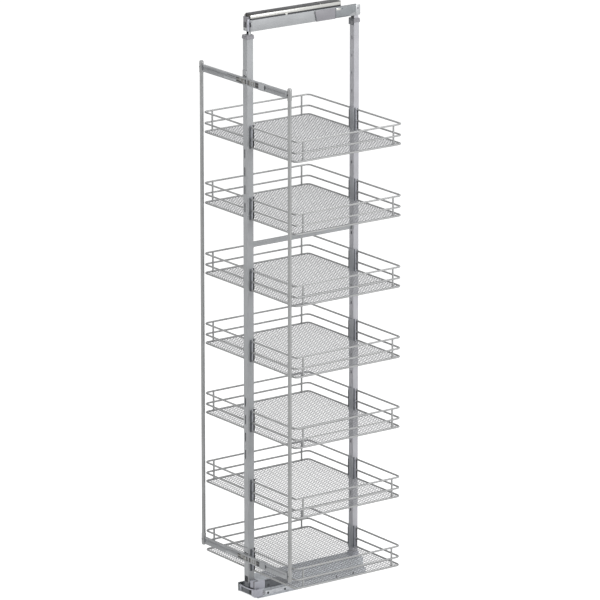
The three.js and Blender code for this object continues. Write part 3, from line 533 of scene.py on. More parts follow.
HOOK_GAP = 0.3
HOOK_SHEET = 2
HOOK_IN = POST_HALF + HOOK_GAP
HOOK_OUT = HOOK_IN + HOOK_SHEET
HOOK_LOW = -75
HOOK_HIGH = 8
FRONT_WEB = (FRONT_POST[1] + HOOK_GAP, FRONT_POST[1] + HOOK_GAP + HOOK_SHEET)
REAR_WEB = (REAR_POST[0] - HOOK_GAP - HOOK_SHEET, REAR_POST[0] - HOOK_GAP)

# upright bands of a side plate: front, rear, trimmed off each end, past the plate, material
FRONT_BANDS = (
    (-236, -229.6, 1.5, 0, M_HOOK),
    (-229.8, -226, 1, -0.4, M_STONE_AND_SHADE),
    (-226.2, -223.6, 0.5, 0.2, M_LIGHT),
    (-223.8, -216.4, 0, 0, M_DARK_AND_SHADE),
)
REAR_BANDS = (
    (212, 218.6, 0, 0, M_HOOK),
    (218.4, 220.8, 1, -0.4, M_HOOK_RIB),
    (220.6, 224, 1.5, 0.2, M_LIGHT),
    (223.8, 231, 4, 0, M_DARK_AND_SHADE),
)
TONGUE_X = HOOK_IN + HOOK_SHEET / 2
TONGUE_PATH = ((-217, 5), (-213, 6), (-209, 6.4))
TONGUE_R = 1.0
# dark seam on the left of a rear hook
SEAM_X = (-HOOK_OUT, 4.5 - HOOK_OUT)
SEAM_Y = (REAR_WEB[0] - 0.5, REAR_WEB[1] - 0.2)
SEAM_Z = (HOOK_LOW + 10, HOOK_HIGH - 10)


def half_ring(z):
    """Points of the right half of a ring, from the front hook round to the rear hook."""
    centre_x, centre_y = HALF_W - CORNER_R, HALF_D - CORNER_R
    points = [(HOOK_OUT, -HALF_D, z)]
    for y, start in ((-centre_y, -90), (centre_y, 0)):
        for step in range(CORNER_STEPS + 1):
            turn = math.radians(start + 90 * step / CORNER_STEPS)
            points.append((centre_x + CORNER_R * math.cos(turn), y + CORNER_R * math.sin(turn), z))
    points.append((HOOK_OUT, HALF_D, z))
    return points


def basket_wires():
    """Three rings, open at the hooks, and an upright near each corner."""
    shape = Shape(M_WIRE)
    for z in (0, MIDDLE_RING, FLOOR_RING):
        right = half_ring(z)
        shape.sweep(right, WIRE_R, WIRE_SIDES)
        shape.sweep([(-x, y, z) for x, y, _ in right], WIRE_R, WIRE_SIDES)
    for x in (-UPRIGHT_X, UPRIGHT_X):
        for y in (-UPRIGHT_Y, UPRIGHT_Y):
            shape.sweep([(x, y, z) for z in (UPRIGHT_FOOT, MIDDLE_RING, UPRIGHT_TOP)], WIRE_R, WIRE_SIDES)
    return shape


def net_reach(across, limit, half_other):
    """How far a net wire runs from the middle before it meets the rounded corner of the floor ring."""
    past = across - (half_other - CORNER_R)
    inner = CORNER_R - WIRE_R
    if past <= 0:
        return limit
    return limit - inner + math.sqrt(max(inner * inner - past * past, 0))


def basket_net():
    """Fine welded wires: one layer along X and one along Y on top of it."""
    shape = Shape(M_NET)
    reach_x, reach_y = HALF_W - WIRE_R, HALF_D - WIRE_R
    count_x, count_y = int(reach_x / NET_PITCH), int(reach_y / NET_PITCH)
    upper, lower = NET_Z + NET_LAYER, NET_Z - NET_LAYER
    for i in range(-count_x, count_x + 1):
        x = i * NET_PITCH
        end = NOTCH_Y if abs(x) < NOTCH_X else net_reach(abs(x), reach_y, HALF_W)
        shape.sweep([(x, -end, upper), (x, end, upper)], NET_R, NET_SIDES)
    for i in range(-count_y, count_y + 1):
        y = i * NET_PITCH
        end = net_reach(abs(y), reach_x, HALF_D)
        spans = [(-end, end)] if abs(y) < NOTCH_Y else [(-end, -NOTCH_X), (NOTCH_X, end)]
        for low, high in spans:
            shape.sweep([(low, y, lower), (high, y, lower)], NET_R, NET_SIDES)
    return shape


def clip_side(shape, side, bands):
    """One side plate of a clip, pressed into upright bands."""
    for front, rear, trim, past, material in bands:
        across = flank(side, HOOK_IN, HOOK_OUT + past)
        shape.box(across, (front, rear), (HOOK_LOW + trim, HOOK_HIGH - trim), material, bevel=0.45)


def front_hook():
    """A sheet clip round the post: a web behind it, and on each side a folded plate and a wire's tongue."""
    shape = Shape(M_HOOK)
    shape.box((-HOOK_OUT, HOOK_OUT), FRONT_WEB, (HOOK_LOW, HOOK_HIGH), M_DARK_AND_SHADE, bevel=0.7)
    for side in (-1, 1):
        clip_side(shape, side, FRONT_BANDS)
        shape.sweep([(side * TONGUE_X, y, z) for y, z in TONGUE_PATH], TONGUE_R, 10, M_HOOK_RIB)
    return shape


def rear_hook():
    """The same clip on the rear post, with its web before the post."""
    shape = Shape(M_HOOK)
    shape.box((-HOOK_OUT, HOOK_OUT), REAR_WEB, (HOOK_LOW, HOOK_HIGH), M_HOOK_FACE, bevel=0.7)
    shape.box(SEAM_X, SEAM_Y, SEAM_Z, M_DARK_AND_SHADE, bevel=0.6)
    for side in (-1, 1):
        clip_side(shape, side, REAR_BANDS)
    return shape


# what a basket is made of: name of the piece, mesh, slot, node that it replaces
basket_parts = (
    ("wire_frame", basket_wires().mesh("basket_wires"), "wire_coat", "wires"),
    ("wire_floor", basket_net().mesh("basket_net"), "wire_coat", "net"),
    ("front_clip", front_hook().mesh("front_hook"), "hook_steel", "front_hook"),
    ("rear_clip", rear_hook().mesh("rear_hook"), "hook_steel", "rear_hook"),
)
for number in range(1, BASKETS + 1):
    body = f"basket_{number}"
    rim = LOWEST_RIM + (BASKETS - number) * PITCH
    for part, mesh, slot, node in basket_parts:
        place(f"{body}_{part}", mesh, body, [f"{body}_{node}"], (0, 0, rim))

# ------------------------------------------------------------------ door frame

ROD_X = 262
ROD_Y = -244
ROD_R = 6.75
ROD_FOOT = 117
ROD_TOP = 1890
ROD_CAP = 44  # length of the thicker ends
ROD_CAP_R = 8.0
ROD_NOSE = ((1.5, 0), (4.5, 0.6), (6.6, 2.4), (7.7, 5.2), (ROD_CAP_R, 9))  # radius, distance from the end

UPPER_BAR = 1867
LOWER_BAR = 140
BAR_END = 254.17
BAR_BACK = -246.7
BAR_FRONT = -255.5
BAR_HALF = 12.5
BAR_LIP = 2.4
# points of the section from the valley of the V out to the bead and back: y, z
BAR_BEAD = ((-250.6, -1.8), (-252.2, -1.0), (-252.2, 0.4), (-250.6, 1.2))
LEFT_PLUG_Y = (-249.5, BAR_BACK)
LEFT_PLUG_HALF = 9.5
RIGHT_PLUG_Y = (-254.6, BAR_BACK)
RIGHT_PLUG_HALF = 11.5
# sections of the two fillings that lie in the groove left of the adjuster: y, z
LOWER_FILLING = ((-255.3, -9.6), (-251.4, -9.6), (-251.4, -1.2), (-253.2, -1.2))
UPPER_FILLING = ((-253.6, 0.8), (-251.4, 0.2), (-251.4, 5.0), (-254.6, 5.0))

ADJUSTER_X = (-38, 76)
ADJUSTER_BACK = -248.8
ADJUSTER_FRONT = -254.2
ADJUSTER_HALF = 9.3
SLOT_Y = (-254.7, -253.6)
SLOT_HALF = 1.9
# each slot is a dark box on the plate: painted shade in place of an opening
# slots in the plate of the adjuster: left end, right end, height of the middle
ADJUSTER_SLOTS = ((-38.5, -23, 5.5), (-38.5, -20, -4.5), (-20, -6, -6.5), (2, 16, 3.5), (18, 26, -5.0))
# ribs across the plate: left, right, front, half height, material, rounding
ADJUSTER_RIBS = (
    (16, 19, -254.8, 9.8, M_DARK_AND_SHADE, 0.3),
    (24, 28.5, -255.2, 10.6, M_BAR_PALE, 0.5),
    (30, 35, -254.6, 8.6, M_DARK_AND_SHADE, 0.4),
    (45, 48, -255.2, 10.4, M_BAR_PALE, 0.4),
    (70, 73, -255.2, 10.4, M_BAR_PALE, 0.4),
)
RIB_BACK = -252.6
SCREW_XS = (-12, 9)
SCREW_Z = 1.5
SCREW_R = 4.2
CAM_X = 59
CAM_R = 5.4
CAM_FRAME_X = (45, 73)
CAM_FRAME_Y = (-255.2, RIB_BACK)
CAM_FRAME_Z = 9
SPINDLE_XS = (75, 84, 95)
SPINDLE_Y = -254.6
SPINDLE_R = 0.8

BLOCK_X = (93.5, 128)
BLOCK_Y = (-255.4, -247)
BLOCK_HALF = 14.0
JOINT_Y = (-254.9, -247.4)
JOINT_HALF = 12.6
# a dark box fills the gap between the adjuster and the block: painted shade
GAP_X = (ADJUSTER_X[1], BLOCK_X[0])
GAP_Y = (-254.9, ADJUSTER_BACK)
GAP_HALF = 12.0

BRACKET_X = (-12.3, 12.4)
BRACKET_Y = (-246.3, FRONT_POST[0] - 0.35)
BRACKET_Z = (-14, 36)
STEM_HALF_X = 12
STEM_HALF_Z = 6
STEM_Y = (-249, -245)
CUT_Y = (-247.2, -245.6)
CUT_HALF = 1.6
# dark cuts in the bracket, dark boxes that paint the shade in them: left end, right end, height of the
# middle
BRACKET_CUTS = ((-4, 3, 17.0), (5, 12, 15.4), (-4, 8, -12.8))


def door_rod():
    """Round rod with thicker rounded ends, and a screw where each bar meets it."""
    cap_end = ROD_FOOT + ROD_CAP
    lower = [(radius, ROD_FOOT + rise) for radius, rise in ROD_NOSE]
    lower += [(ROD_CAP_R, cap_end - 1.2), (ROD_CAP_R - 0.8, cap_end), (ROD_R, cap_end)]
    upper = [(radius, ROD_FOOT + ROD_TOP - z) for radius, z in reversed(lower)]
    shape = Shape(M_ROD).lathe(lower + upper, (0, ROD_Y, 0), "z", 40)
    for z in (LOWER_BAR, UPPER_BAR):
        shape.stud(2.4, (-ROD_CAP_R - 0.4, -ROD_CAP_R + 2), (0, ROD_Y, z), "y", 16, M_DARK_AND_SHADE, tip=0.2)
    return shape


def door_bar():
    """Section with a lip along its top and bottom, a shallow V between them and a bead in the middle."""
    lower_lip = [(BAR_BACK, -BAR_HALF), (BAR_FRONT, -BAR_HALF), (BAR_FRONT, BAR_LIP - BAR_HALF)]
    upper_lip = [(y, -z) for y, z in reversed(lower_lip)]
    outline = [*lower_lip, *BAR_BEAD, *upper_lip]
    shape = Shape(M_BAR).prism(outline, "x", (16 - BAR_END, BAR_END - 1), bevel=0.4)
    shape.box((3 - BAR_END, 17 - BAR_END), LEFT_PLUG_Y, about(0, LEFT_PLUG_HALF), M_SLATE_AND_SHADE, bevel=0.6)
    shape.box((BAR_END - 5, BAR_END + 3.5), RIGHT_PLUG_Y, about(0, RIGHT_PLUG_HALF), bevel=0.8)
    # the lower filling is paler than the upper one: painted light on the lower side of the groove, which
    # faces up
    shape.prism(LOWER_FILLING, "x", (-112, ADJUSTER_X[0]), M_BAR_PALE, bevel=0.6)
    shape.prism(UPPER_FILLING, "x", (-96, ADJUSTER_X[0]), bevel=0.5)
    return shape


def adjuster():
    """The mechanism in the groove: a plate with two rows of slots, screws, a framed cam and the spindle."""
    shape = Shape(M_FITTING)
    shape.box(ADJUSTER_X, (ADJUSTER_FRONT, ADJUSTER_BACK), about(0, ADJUSTER_HALF), bevel=0.6)
    for low, high, z in ADJUSTER_SLOTS:
        shape.box((low, high), SLOT_Y, about(z, SLOT_HALF), M_DARK_AND_SHADE, bevel=0.3)
    for x in SCREW_XS:
        shape.stud(SCREW_R, (-255.1, -254), (x, 0, SCREW_Z), "y", 20, M_BAR_PALE)
        # a dark box across each screw head: painted shade of its slot
        shape.box(about(x, 3), (-255.3, -254.8), about(SCREW_Z, 0.6), M_DARK_AND_SHADE, bevel=0.1)
    for low, high, front, half, material, bevel in ADJUSTER_RIBS:
        shape.box((low, high), (front, RIB_BACK), about(0, half), material, bevel)
    for z in (-CAM_FRAME_Z, CAM_FRAME_Z):
        shape.box(CAM_FRAME_X, CAM_FRAME_Y, about(z, 1.4), M_BAR_PALE, bevel=0.4)
    shape.stud(CAM_R, (-255.2, -253), (CAM_X, 0, 0), "y", 24, M_BAR_PALE)
    # a dark box across the cam: painted shade of its slot
    shape.box(about(CAM_X, 3.5), (-255.4, -255.0), about(0, 0.8), M_DARK_AND_SHADE, bevel=0.1)
    # dark box in the gap to the block: painted shade
    shape.box(GAP_X, GAP_Y, about(0, GAP_HALF), M_DARK_AND_SHADE, bevel=0.3)
    shape.sweep([(x, SPINDLE_Y, 0) for x in SPINDLE_XS], SPINDLE_R, 12)
    return shape


def nut_block(coat):
    """Block that the spindle pushes on, with a dark joint on its right and, on its left, a dark box that
    paints the shade in the gap.
    """
    shape = Shape(coat).box(BLOCK_X, BLOCK_Y, about(0, BLOCK_HALF), bevel=1.6, segments=3)
    shape.box(about(BLOCK_X[1], 0.8), JOINT_Y, about(0, JOINT_HALF), M_SLATE_AND_SHADE, bevel=0.3)
    # dark box in the gap left of the block: painted shade
    shape.box((74.8, 93), (-250.4, -248.9), about(0, GAP_HALF), M_DARK_AND_SHADE, bevel=0.3)
    return shape


def bracket():
    """The plate on the front post behind a bar, with its stem, three cuts and a screw."""
    shape = Shape(M_POST)
    shape.box(BRACKET_X, BRACKET_Y, BRACKET_Z, bevel=0.7)
    shape.box(about(0, STEM_HALF_X), STEM_Y, about(0, STEM_HALF_Z), bevel=0.6)
    for low, high, z in BRACKET_CUTS:
        shape.box((low, high), CUT_Y, about(z, CUT_HALF), M_DARK_AND_SHADE, bevel=0.4)
    shape.stud(3.0, (-247.0, -246), (6, 0, 27), "y", 18)
    return shape


rod_mesh = door_rod().mesh("door_rod_turned")
for side, x in (("left", -ROD_X), ("right", ROD_X)):
    place(f"door_rod_{side}_turned", rod_mesh, "door_frame", [f"door_rod_{side}"], (x, 0, 0))
bar_mesh = door_bar().mesh("door_bar_section")
adjuster_mesh = adjuster().mesh("door_adjuster_parts")
bracket_mesh = bracket().mesh("door_bracket_form")
for level, z, block_coat in (("upper", UPPER_BAR, M_BAR_PALE), ("lower", LOWER_BAR, M_BAR)):
    at = (0, 0, z)
    block_mesh = nut_block(block_coat).mesh(f"{level}_block_form")
    place(f"{level}_bar_section", bar_mesh, "door_frame", [f"{level}_door_bar"], at)
    place(f"{level}_adjuster_parts", adjuster_mesh, "frame", [f"{level}_door_adjuster"], at)
    place(f"{level}_block_form", block_mesh, "door_frame", [f"{level}_door_nut_block"], at)
    place(f"{level}_bracket_form", bracket_mesh, "frame", [f"{level}_door_bracket"], at)

# ------------------------------------------------------------------ top runner

TOP = 2100
RAIL_REAR = 152
RAIL_ENDS = (-233, RAIL_REAR)
RAIL_COVER_X = (-18.6, 18.2)
RAIL_COVER_ENDS = (-229, RAIL_REAR)
RAIL_RIB_X = (-18.7, 18.3)
RAIL_RIB_YS = (-159, 64)
# the skirt under each strip is dark: painted shade of the gap between the strip and the channel's wall
SKIRT_X = (16.4, 18.0)
SKIRT_ENDS = (-228.5, RAIL_REAR)
SKIRT_Z = (2066, 2087)
RAIL_CLIP_X = (16.8, 22.3)
RAIL_CLIP_Y = (-88, -78)
RAIL_CLIP_Z = (2080.6, 2086.6)
# right half of the bright strip on the cabinet rail: distance from the middle, height
RAIL_STRIP = (
    (16.6, 2086), (18.8, 2086), (19.5, 2088.5), (19.5, 2093),
    (18.9, 2096.6), (18.0, 2098.4), (16.6, 2098.4),
)

CHANNEL_LOW = 2041
CHANNEL_HIGH = 2081
CHANNEL_HALF = 22.5
CHANNEL_SHEET = 2
CHANNEL_WALL = 1.9
CHANNEL_FLOOR = CHANNEL_LOW + CHANNEL_SHEET
CHANNEL_FRONT = -230
CHANNEL_REAR = 215
CHANNEL_LEFT_REAR = 150  # its left wall ends here
# the channel's rolled edges are drawn dark: painted shade along its top
ROLLED_EDGE_X = (20.4, 22.45)
ROLLED_EDGE_Z = (2080.2, 2081.9)

BEAM_ENDS = (-226, 150)
# half widths of the middle beam, and the heights where it changes from one to the next
BEAM_FOOT, BEAM_WEB, BEAM_HEAD = 20.2, 3, 15
BEAM_HEIGHTS = (CHANNEL_FLOOR + 0.4, 2051.9, 2085.6, 2097)

FACE_X = (-13, 9.2)
FACE_Y = (-242, -240)
CONNECTOR_TOP = 2092
FOLD_Y = (-241, -230.4)
SLOTS_Z = (2052.5, 2073.5)
PLATE_X = (-22, 22)
PLATE_Y = (-232.2, FOLD_Y[1])
WINDOW_X = (-19.5, 19.2)
WINDOW_Z = (2055, 2072)
# x, y, z, then the material, the rounding and its steps
CONNECTOR_SHEETS = (
    ((FACE_X[0], -11.2), FACE_Y, SLOTS_Z, M_GREY, 0.3),  # face left of its two slots
    ((-6.6, -3.6), FACE_Y, SLOTS_Z, M_GREY, 0.3),  # face between them
    ((2.8, FACE_X[1]), FACE_Y, SLOTS_Z, M_GREY, 0.3),  # face right of them
    (FACE_X, FACE_Y, (2073, CONNECTOR_TOP)),  # face above them
    (FACE_X, FACE_Y, (CHANNEL_LOW, 2053), M_BAR_PALE),  # face below them
    # a dark sheet behind the slots: painted shade of the inside of the box
    ((-12, 9), (-240.2, -239.2), (2043, 2090), M_DARK_AND_SHADE, 0.2),  # the dark behind them
    ((FACE_X[0], -11), FOLD_Y, (CHANNEL_LOW, CONNECTOR_TOP)),  # left side
    ((8.5, 10.6), (-241.2, FOLD_Y[1]), (CHANNEL_LOW, 2083), M_LIGHT),  # right side
    ((8.5, 10.5), FOLD_Y, (2081, CONNECTOR_TOP)),  # right side near the top
    ((8.6, 10.4), (-242.1, -241), (CHANNEL_LOW, 2088), M_DARK_AND_SHADE, 0.3),  # its dark front edge
    ((-9, 9), FOLD_Y, (CHANNEL_LOW, CHANNEL_FLOOR), M_BAR_PALE, 0.4),  # floor
    (PLATE_X, PLATE_Y, (2071.5, CHANNEL_HIGH), M_BAR_PALE),  # plate above its window
    (PLATE_X, PLATE_Y, (CHANNEL_LOW, 2055.5), M_BAR_PALE),  # plate below it
    ((PLATE_X[0], WINDOW_X[0]), PLATE_Y, WINDOW_Z, M_BAR_PALE, 0.4),  # plate left of it
    ((WINDOW_X[1], PLATE_X[1]), PLATE_Y, WINDOW_Z, M_BAR_PALE, 0.4),  # plate right of it
    # a dark sheet in the window: painted shade
    ((-19.6, 19.6), (-231.2, -230.5), WINDOW_Z, M_DARK_AND_SHADE, 0.2),  # the dark in it
    ((-6, 6), (-233, -224), (2028, 2041.5), M_BAR_PALE, 0.6),  # neck on the tube
)

FRONT_TUBE = (6.5, -233, -223, 1790)  # half width, front, back, foot
TUBE_WALL = 1.5
TUBE_TOP = 2040.6
# front and back of the collar, half width of its hole, front and back of the hole
FRONT_COLLAR = ((-246.8, -215.7), 7.0, (-233.5, -222.5))
REAR_COLLAR = ((210.7, 237.8), 10.4, (216.2, 232.6))
COLLAR_HALF = 15.3
COLLAR_STAGES = ((2013, 2022.5, 0.0), (2022, 2027.3, -0.7))  # low, high, wider than the collar
KNOB_PLACE = (5, 211.4, 0)
KNOB = ((3.4, 2027.4), (3.6, 2029), (3.6, 2035), (2.6, 2037), (0.4, 2037))  # radius, height

DAMPER_X = (22.8, 26.8)
# sections of the two housings and of the dark edges along them: y, z
FRONT_HOUSING = ((42, CHANNEL_LOW), (122.6, CHANNEL_LOW), (122.6, 2078.4), (35, 2078.4))
FRONT_EDGE = ((35.2, 2077), (42.2, 2041.5), (43.2, 2041.5), (36.4, 2078))
REAR_HOUSING = (
    (124.4, 2044.6), (168, 2043.6), (183, 2045.5), (196, 2051), (207, 2058), (207, 2078.8), (124.4, 2078.8),
)
REAR_EDGE = ((125, 2044.4), (168, 2043.4), (183, 2045.3), (183, 2047), (168, 2045.2), (125, 2046))

REAR_CLIP_ENDS = (215.3, 232.3)
REAR_CLIP_TOP = 2076


def cabinet_rail():
    """Hood under the cabinet top: a bright crowned strip along each side and a dark cover between them."""
    shape = Shape(M_BEAM)
    for side in (-1, 1):
        shape.prism([(side * x, z) for x, z in RAIL_STRIP], "y", RAIL_ENDS)
        # dark skirt: painted shade
        shape.box(flank(side, *SKIRT_X), SKIRT_ENDS, SKIRT_Z, M_DARK_AND_SHADE, bevel=0.3)
        shape.box(flank(side, *RAIL_CLIP_X), RAIL_CLIP_Y, RAIL_CLIP_Z, bevel=0.6)
    shape.box(RAIL_COVER_X, RAIL_COVER_ENDS, (TOP - 3, TOP), M_DARK_AND_SHADE)
    for y in RAIL_RIB_YS:
        shape.box(RAIL_RIB_X, about(y, 1.8), (TOP - 2.4, TOP), bevel=0.4)
    return shape


def middle_beam():
    """Telescopic part: a foot in the channel, a web, and a head under the cabinet rail."""
    foot_low, foot_high, head_low, head_high = BEAM_HEIGHTS
    half = [
        (BEAM_FOOT, foot_low), (BEAM_FOOT, foot_high), (BEAM_WEB, foot_high),
        (BEAM_WEB, head_low), (BEAM_HEAD, head_low), (BEAM_HEAD, head_high),
    ]
    outline = half + [(-x, z) for x, z in reversed(half)]
    return Shape(M_FITTING).prism(outline, "y", BEAM_ENDS, bevel=0.7)


def top_channel():
    """Channel on the tubes: its left wall ends before the rear, its edges are rolled and drawn dark as
    painted shade.
    """
    half, wall = CHANNEL_HALF, CHANNEL_HALF - CHANNEL_WALL
    shape = Shape(M_PLATE)
    floor_and_right = [
        (0.1 - half, CHANNEL_LOW), (half, CHANNEL_LOW), (half, CHANNEL_HIGH),
        (wall, CHANNEL_HIGH), (wall, CHANNEL_FLOOR), (0.1 - half, CHANNEL_FLOOR),
    ]
    shape.prism(floor_and_right, "y", (CHANNEL_FRONT, CHANNEL_REAR), bevel=0.6)
    shape.box((-half, -wall), (CHANNEL_FRONT, CHANNEL_LEFT_REAR), (2041.4, CHANNEL_HIGH), bevel=0.6)
    for side, rear in ((1, CHANNEL_REAR - 0.5), (-1, CHANNEL_LEFT_REAR)):
        ends = (CHANNEL_FRONT + 0.5, rear)
        # dark rolled edges: painted shade
        shape.box(flank(side, *ROLLED_EDGE_X), ends, ROLLED_EDGE_Z, M_SLATE_AND_SHADE, bevel=0.4)
    return shape


def front_connector():
    """Folded box before the channel, with two slots and a screw in its face, and a plate behind it."""
    shape = Shape(M_GREY).boxes(CONNECTOR_SHEETS)
    return shape.stud(1.8, (-242.3, -241), (-6.6, 0, 2046.5), "y", 14, M_DARK_AND_SHADE, tip=0.3)


def post_tube(half_x, front, back, foot):
    """Telescopic tube: a closed band of four walls with rounded corners."""
    height = (foot, TUBE_TOP)
    shape = Shape(M_POST)
    shape.box((-half_x, half_x), (front, front + TUBE_WALL), height)
    shape.box((-half_x, half_x), (back - TUBE_WALL, back), height)
    for side in (-1, 1):
        shape.box(flank(side, half_x - TUBE_WALL, half_x), (front + 0.3, back - 0.3), height)
    return shape


def collar(outer, hole_x, hole):
    """Two-stage plastic cap on a post, open for its tube."""
    shape = Shape(M_GREY)
    for low, high, grow in COLLAR_STAGES:
        x = COLLAR_HALF + grow
        shape.box((-x, x), (outer[0] - grow, hole[0]), (low, high), bevel=0.9)
        shape.box((-x, x), (hole[1], outer[1] + grow), (low, high), bevel=0.9)
        for side in (-1, 1):
            shape.box(flank(side, hole_x, x), (hole[0] - 0.5, hole[1] + 0.5), (low, high), bevel=0.9)
    return shape


def rear_cap_face():
    """Dark plate on the front of the rear collar, with a paler square in it."""
    shape = Shape(M_SLATE_AND_SHADE).box((-15, 12.6), (209.6, 211), (2003.5, 2027), bevel=0.7)
    return shape.box((-2.5, 9.5), (209.1, 209.9), (2006, 2018), M_GREY, bevel=0.4)


def rear_knob():
    """Dark stop on the rear collar."""
    return Shape(M_DARK_AND_SHADE).lathe(KNOB, KNOB_PLACE, "z", 20)


def damper():
    """Soft-close unit on the right of the channel: two housings, a white tag, and the end clip."""
    near, far = DAMPER_X
    shape = Shape(M_GREY)
    shape.prism(FRONT_HOUSING, "x", DAMPER_X, bevel=0.8)
    shape.prism(FRONT_EDGE, "x", (far - 0.6, far + 0.1), M_SLATE_AND_SHADE, bevel=0.1)
    shape.prism(REAR_HOUSING, "x", DAMPER_X, M_STONE_AND_SHADE, bevel=0.8)
    shape.box((near, far - 0.8), (122, 125), (2043, 2078), M_SLATE_AND_SHADE, bevel=0.2)
    shape.box((far - 0.5, far + 0.6), (125.8, 144), (2069.5, 2077.2), M_BEAM, bevel=0.4)
    shape.stud(2.4, about(far, 0.4), (0, 152, 2074), "x", 16, M_SLATE_AND_SHADE, tip=0.4)
    shape.prism(REAR_EDGE, "x", (far - 0.6, far + 0.5), M_SLATE_AND_SHADE, bevel=0.2)
    shape.box((near - 0.2, far + 0.4), (193, 210), (2054, 2080), M_STONE_AND_SHADE, bevel=0.7)
    return shape


def rear_connector():
    """Clip that carries on the section of the channel, with a raised edge and a screw."""
    half, wall, top = CHANNEL_HALF, CHANNEL_HALF - CHANNEL_SHEET, REAR_CLIP_TOP
    outline = [
        (-half, CHANNEL_LOW), (half, CHANNEL_LOW), (half, top),
        (wall, top), (wall, CHANNEL_FLOOR), (-half, CHANNEL_FLOOR),
    ]
    shape = Shape(M_BAR_PALE).prism(outline, "y", REAR_CLIP_ENDS, bevel=0.8)
    shape.box((20.6, 23.4), (213, 231.5), (CHANNEL_FLOOR, 2078), bevel=0.9)
    shape.box((20.6, 22.9), (229.4, 232.2), (CHANNEL_FLOOR, top), M_GREY, bevel=0.4)
    return shape.stud(3.4, (22.4, 24.0), (0, 222, 2066), "x", 18, M_GREY, tip=0.4)


place_shape("middle_beam_section", middle_beam(), "top_slide", ["top_middle_beam"])
place_shape("cabinet_rail_section", cabinet_rail(), "top_fixing", ["top_cabinet_rail"])
place_shape("top_channel_section", top_channel(), "top_guide", ["top_channel"])
place_shape("front_bracket_box", front_connector(), "top_guide", ["top_front_connector"])
place_shape("front_inner_tube", post_tube(*FRONT_TUBE), "top_guide", ["front_tube"])
place_shape("front_cap", collar(*FRONT_COLLAR), "frame", ["front_collar"])
place_shape("rear_cap", collar(*REAR_COLLAR), "frame", ["rear_collar"])
place_shape("rear_cap_face", rear_cap_face(), "frame")
place_shape("rear_cap_knob", rear_knob(), "frame")
place_shape("damper_housings", damper(), "top_guide", ["top_damper"])
place_shape("rear_clip_section", rear_connector(), "top_guide", ["top_rear_connector"])

# ------------------------------------------------------------------ foot of the unit

FOOT_LOW = 30
FOOT_BACK = -218
HOUSING_Y = (-238, -218.6)
HOUSING_Z = (FOOT_LOW, 55.7)
# x, y, z, then the material, the rounding and its steps
FOOT_BLOCKS = (
    ((-37.5, 37.5), (-219.4, -198.4), (FOOT_LOW, 47.5), M_SLATE_AND_SHADE, 0.8),  # fill of the carriage
    ((-POST_HALF, POST_HALF), (FRONT_POST[0], FOOT_BACK), (FOOT_LOW, 46), M_SLATE_AND_SHADE, 1.2),  # under the post
    ((-13.4, 13.2), (-244.9, FOOT_BACK), (45.4, 47.7), M_GREY, 0.7),  # flange round the post
    ((12.4, 30), HOUSING_Y, HOUSING_Z, M_LIGHT, 1.6, 3),  # light housing
    ((30, 39.6), (-236.6, HOUSING_Y[1]), HOUSING_Z, M_GREY, 1.2),  # its grey part on the right
    ((40.3, 43), (-192.6, -170.5), (26.5, 57), M_SLATE_AND_SHADE, 0.9),  # box on the side of the carriage
    ((42.6, 43.4), (-192, -171), (51.5, 53), M_DARK_AND_SHADE, 0.2),  # line along that box
)
CHEEK_X = (39.4, 42.0)
CHEEK = ((-237, FOOT_LOW), (-193, 27.5), (-193, 57.4), (-237, 56.6))  # y, z
BUTTON_PLACE = (0, -179.4, 35)
BUTTON = ((4.4, 42.6), (4.4, 43.6), (2.6, 43.6), (2.4, 42.9), (0.4, 42.9))  # radius, x

NOSE_HALF = 45
NOSE_BOW = 9
NOSE_STEPS = 12
NOSE_OUTER_Y = -239.5
NOSE_INNER_Y = -237.6
NOSE_Z = (25.2, 29.4)
NOSE_BACK = -238
CORNER_Y = (-246.6, NOSE_BACK)
CORNER_Z = (3.2, NOSE_Z[1])
# x, y, z, then the material, the rounding and its steps
NOSE_BLOCKS = (
    ((32.5, 46.2), CORNER_Y, CORNER_Z, M_LIGHT, 2.6, 4),  # right corner
    # the left corner takes the darker plastic: painted shade
    ((-46.2, -36), CORNER_Y, CORNER_Z, M_STONE_AND_SHADE, 2.6, 4),  # left corner
    ((-36.5, -31), (-246.0, NOSE_BACK), (5, 27), M_LIGHT, 1.4),  # edge beside the left corner
    # the filling and the deeper filling are dark: painted shade of the hollow behind the lip
    ((-31.5, 15), (-242.6, NOSE_BACK), (7, 25.6), M_SLATE_AND_SHADE, 1.0),  # filling
    ((15, 33), (-240, NOSE_BACK), (5, 25.6), M_DARK_AND_SHADE),  # deeper filling
)

CARRIAGE_HALF = 40
# dark sheet on the right side of the carriage: painted shade
CARRIAGE_SHADE_Y = (-170.2, -92)
CARRIAGE_SHADE_Z = (25, 57)
LEDGE = ((-170, 49), (-100, 49), (-100, 51.5), (-170, 51.5))  # y, z

CAP_CENTRE = (45.8, -238.3)
CAP_R = 8.0
CAP_STEPS = 8
CAP_IN = 46.7
CAP_INSIDE = ((52, -211), (51.8, -236.8), (CAP_IN, -236.8))  # x, y
CAP_Z = (2.4, 32)

# dark sheet behind the window in the front post: painted shade
WINDOW_BACK = ((-9.6, 9.6), (-241.6, -240.6), (49, 80))

RAIL_SIDE = 51.4
WASHER_PLACE = (0, -205, 12.5)
WASHER = ((3.2, RAIL_SIDE), (3.2, 52.4), (5.9, 52.4), (6.3, 51.8), (6.3, RAIL_SIDE))  # radius, x
# dark dots on the right side of the floor rail: painted shade of its holes
HOLE_YS = (-187, -113, 113, 187)
HOLE_Z = 10
HOLE_DOT = ((4.2, RAIL_SIDE), (4.2, 51.9), (3.4, 52.3), (0.4, 52.3))  # radius, x


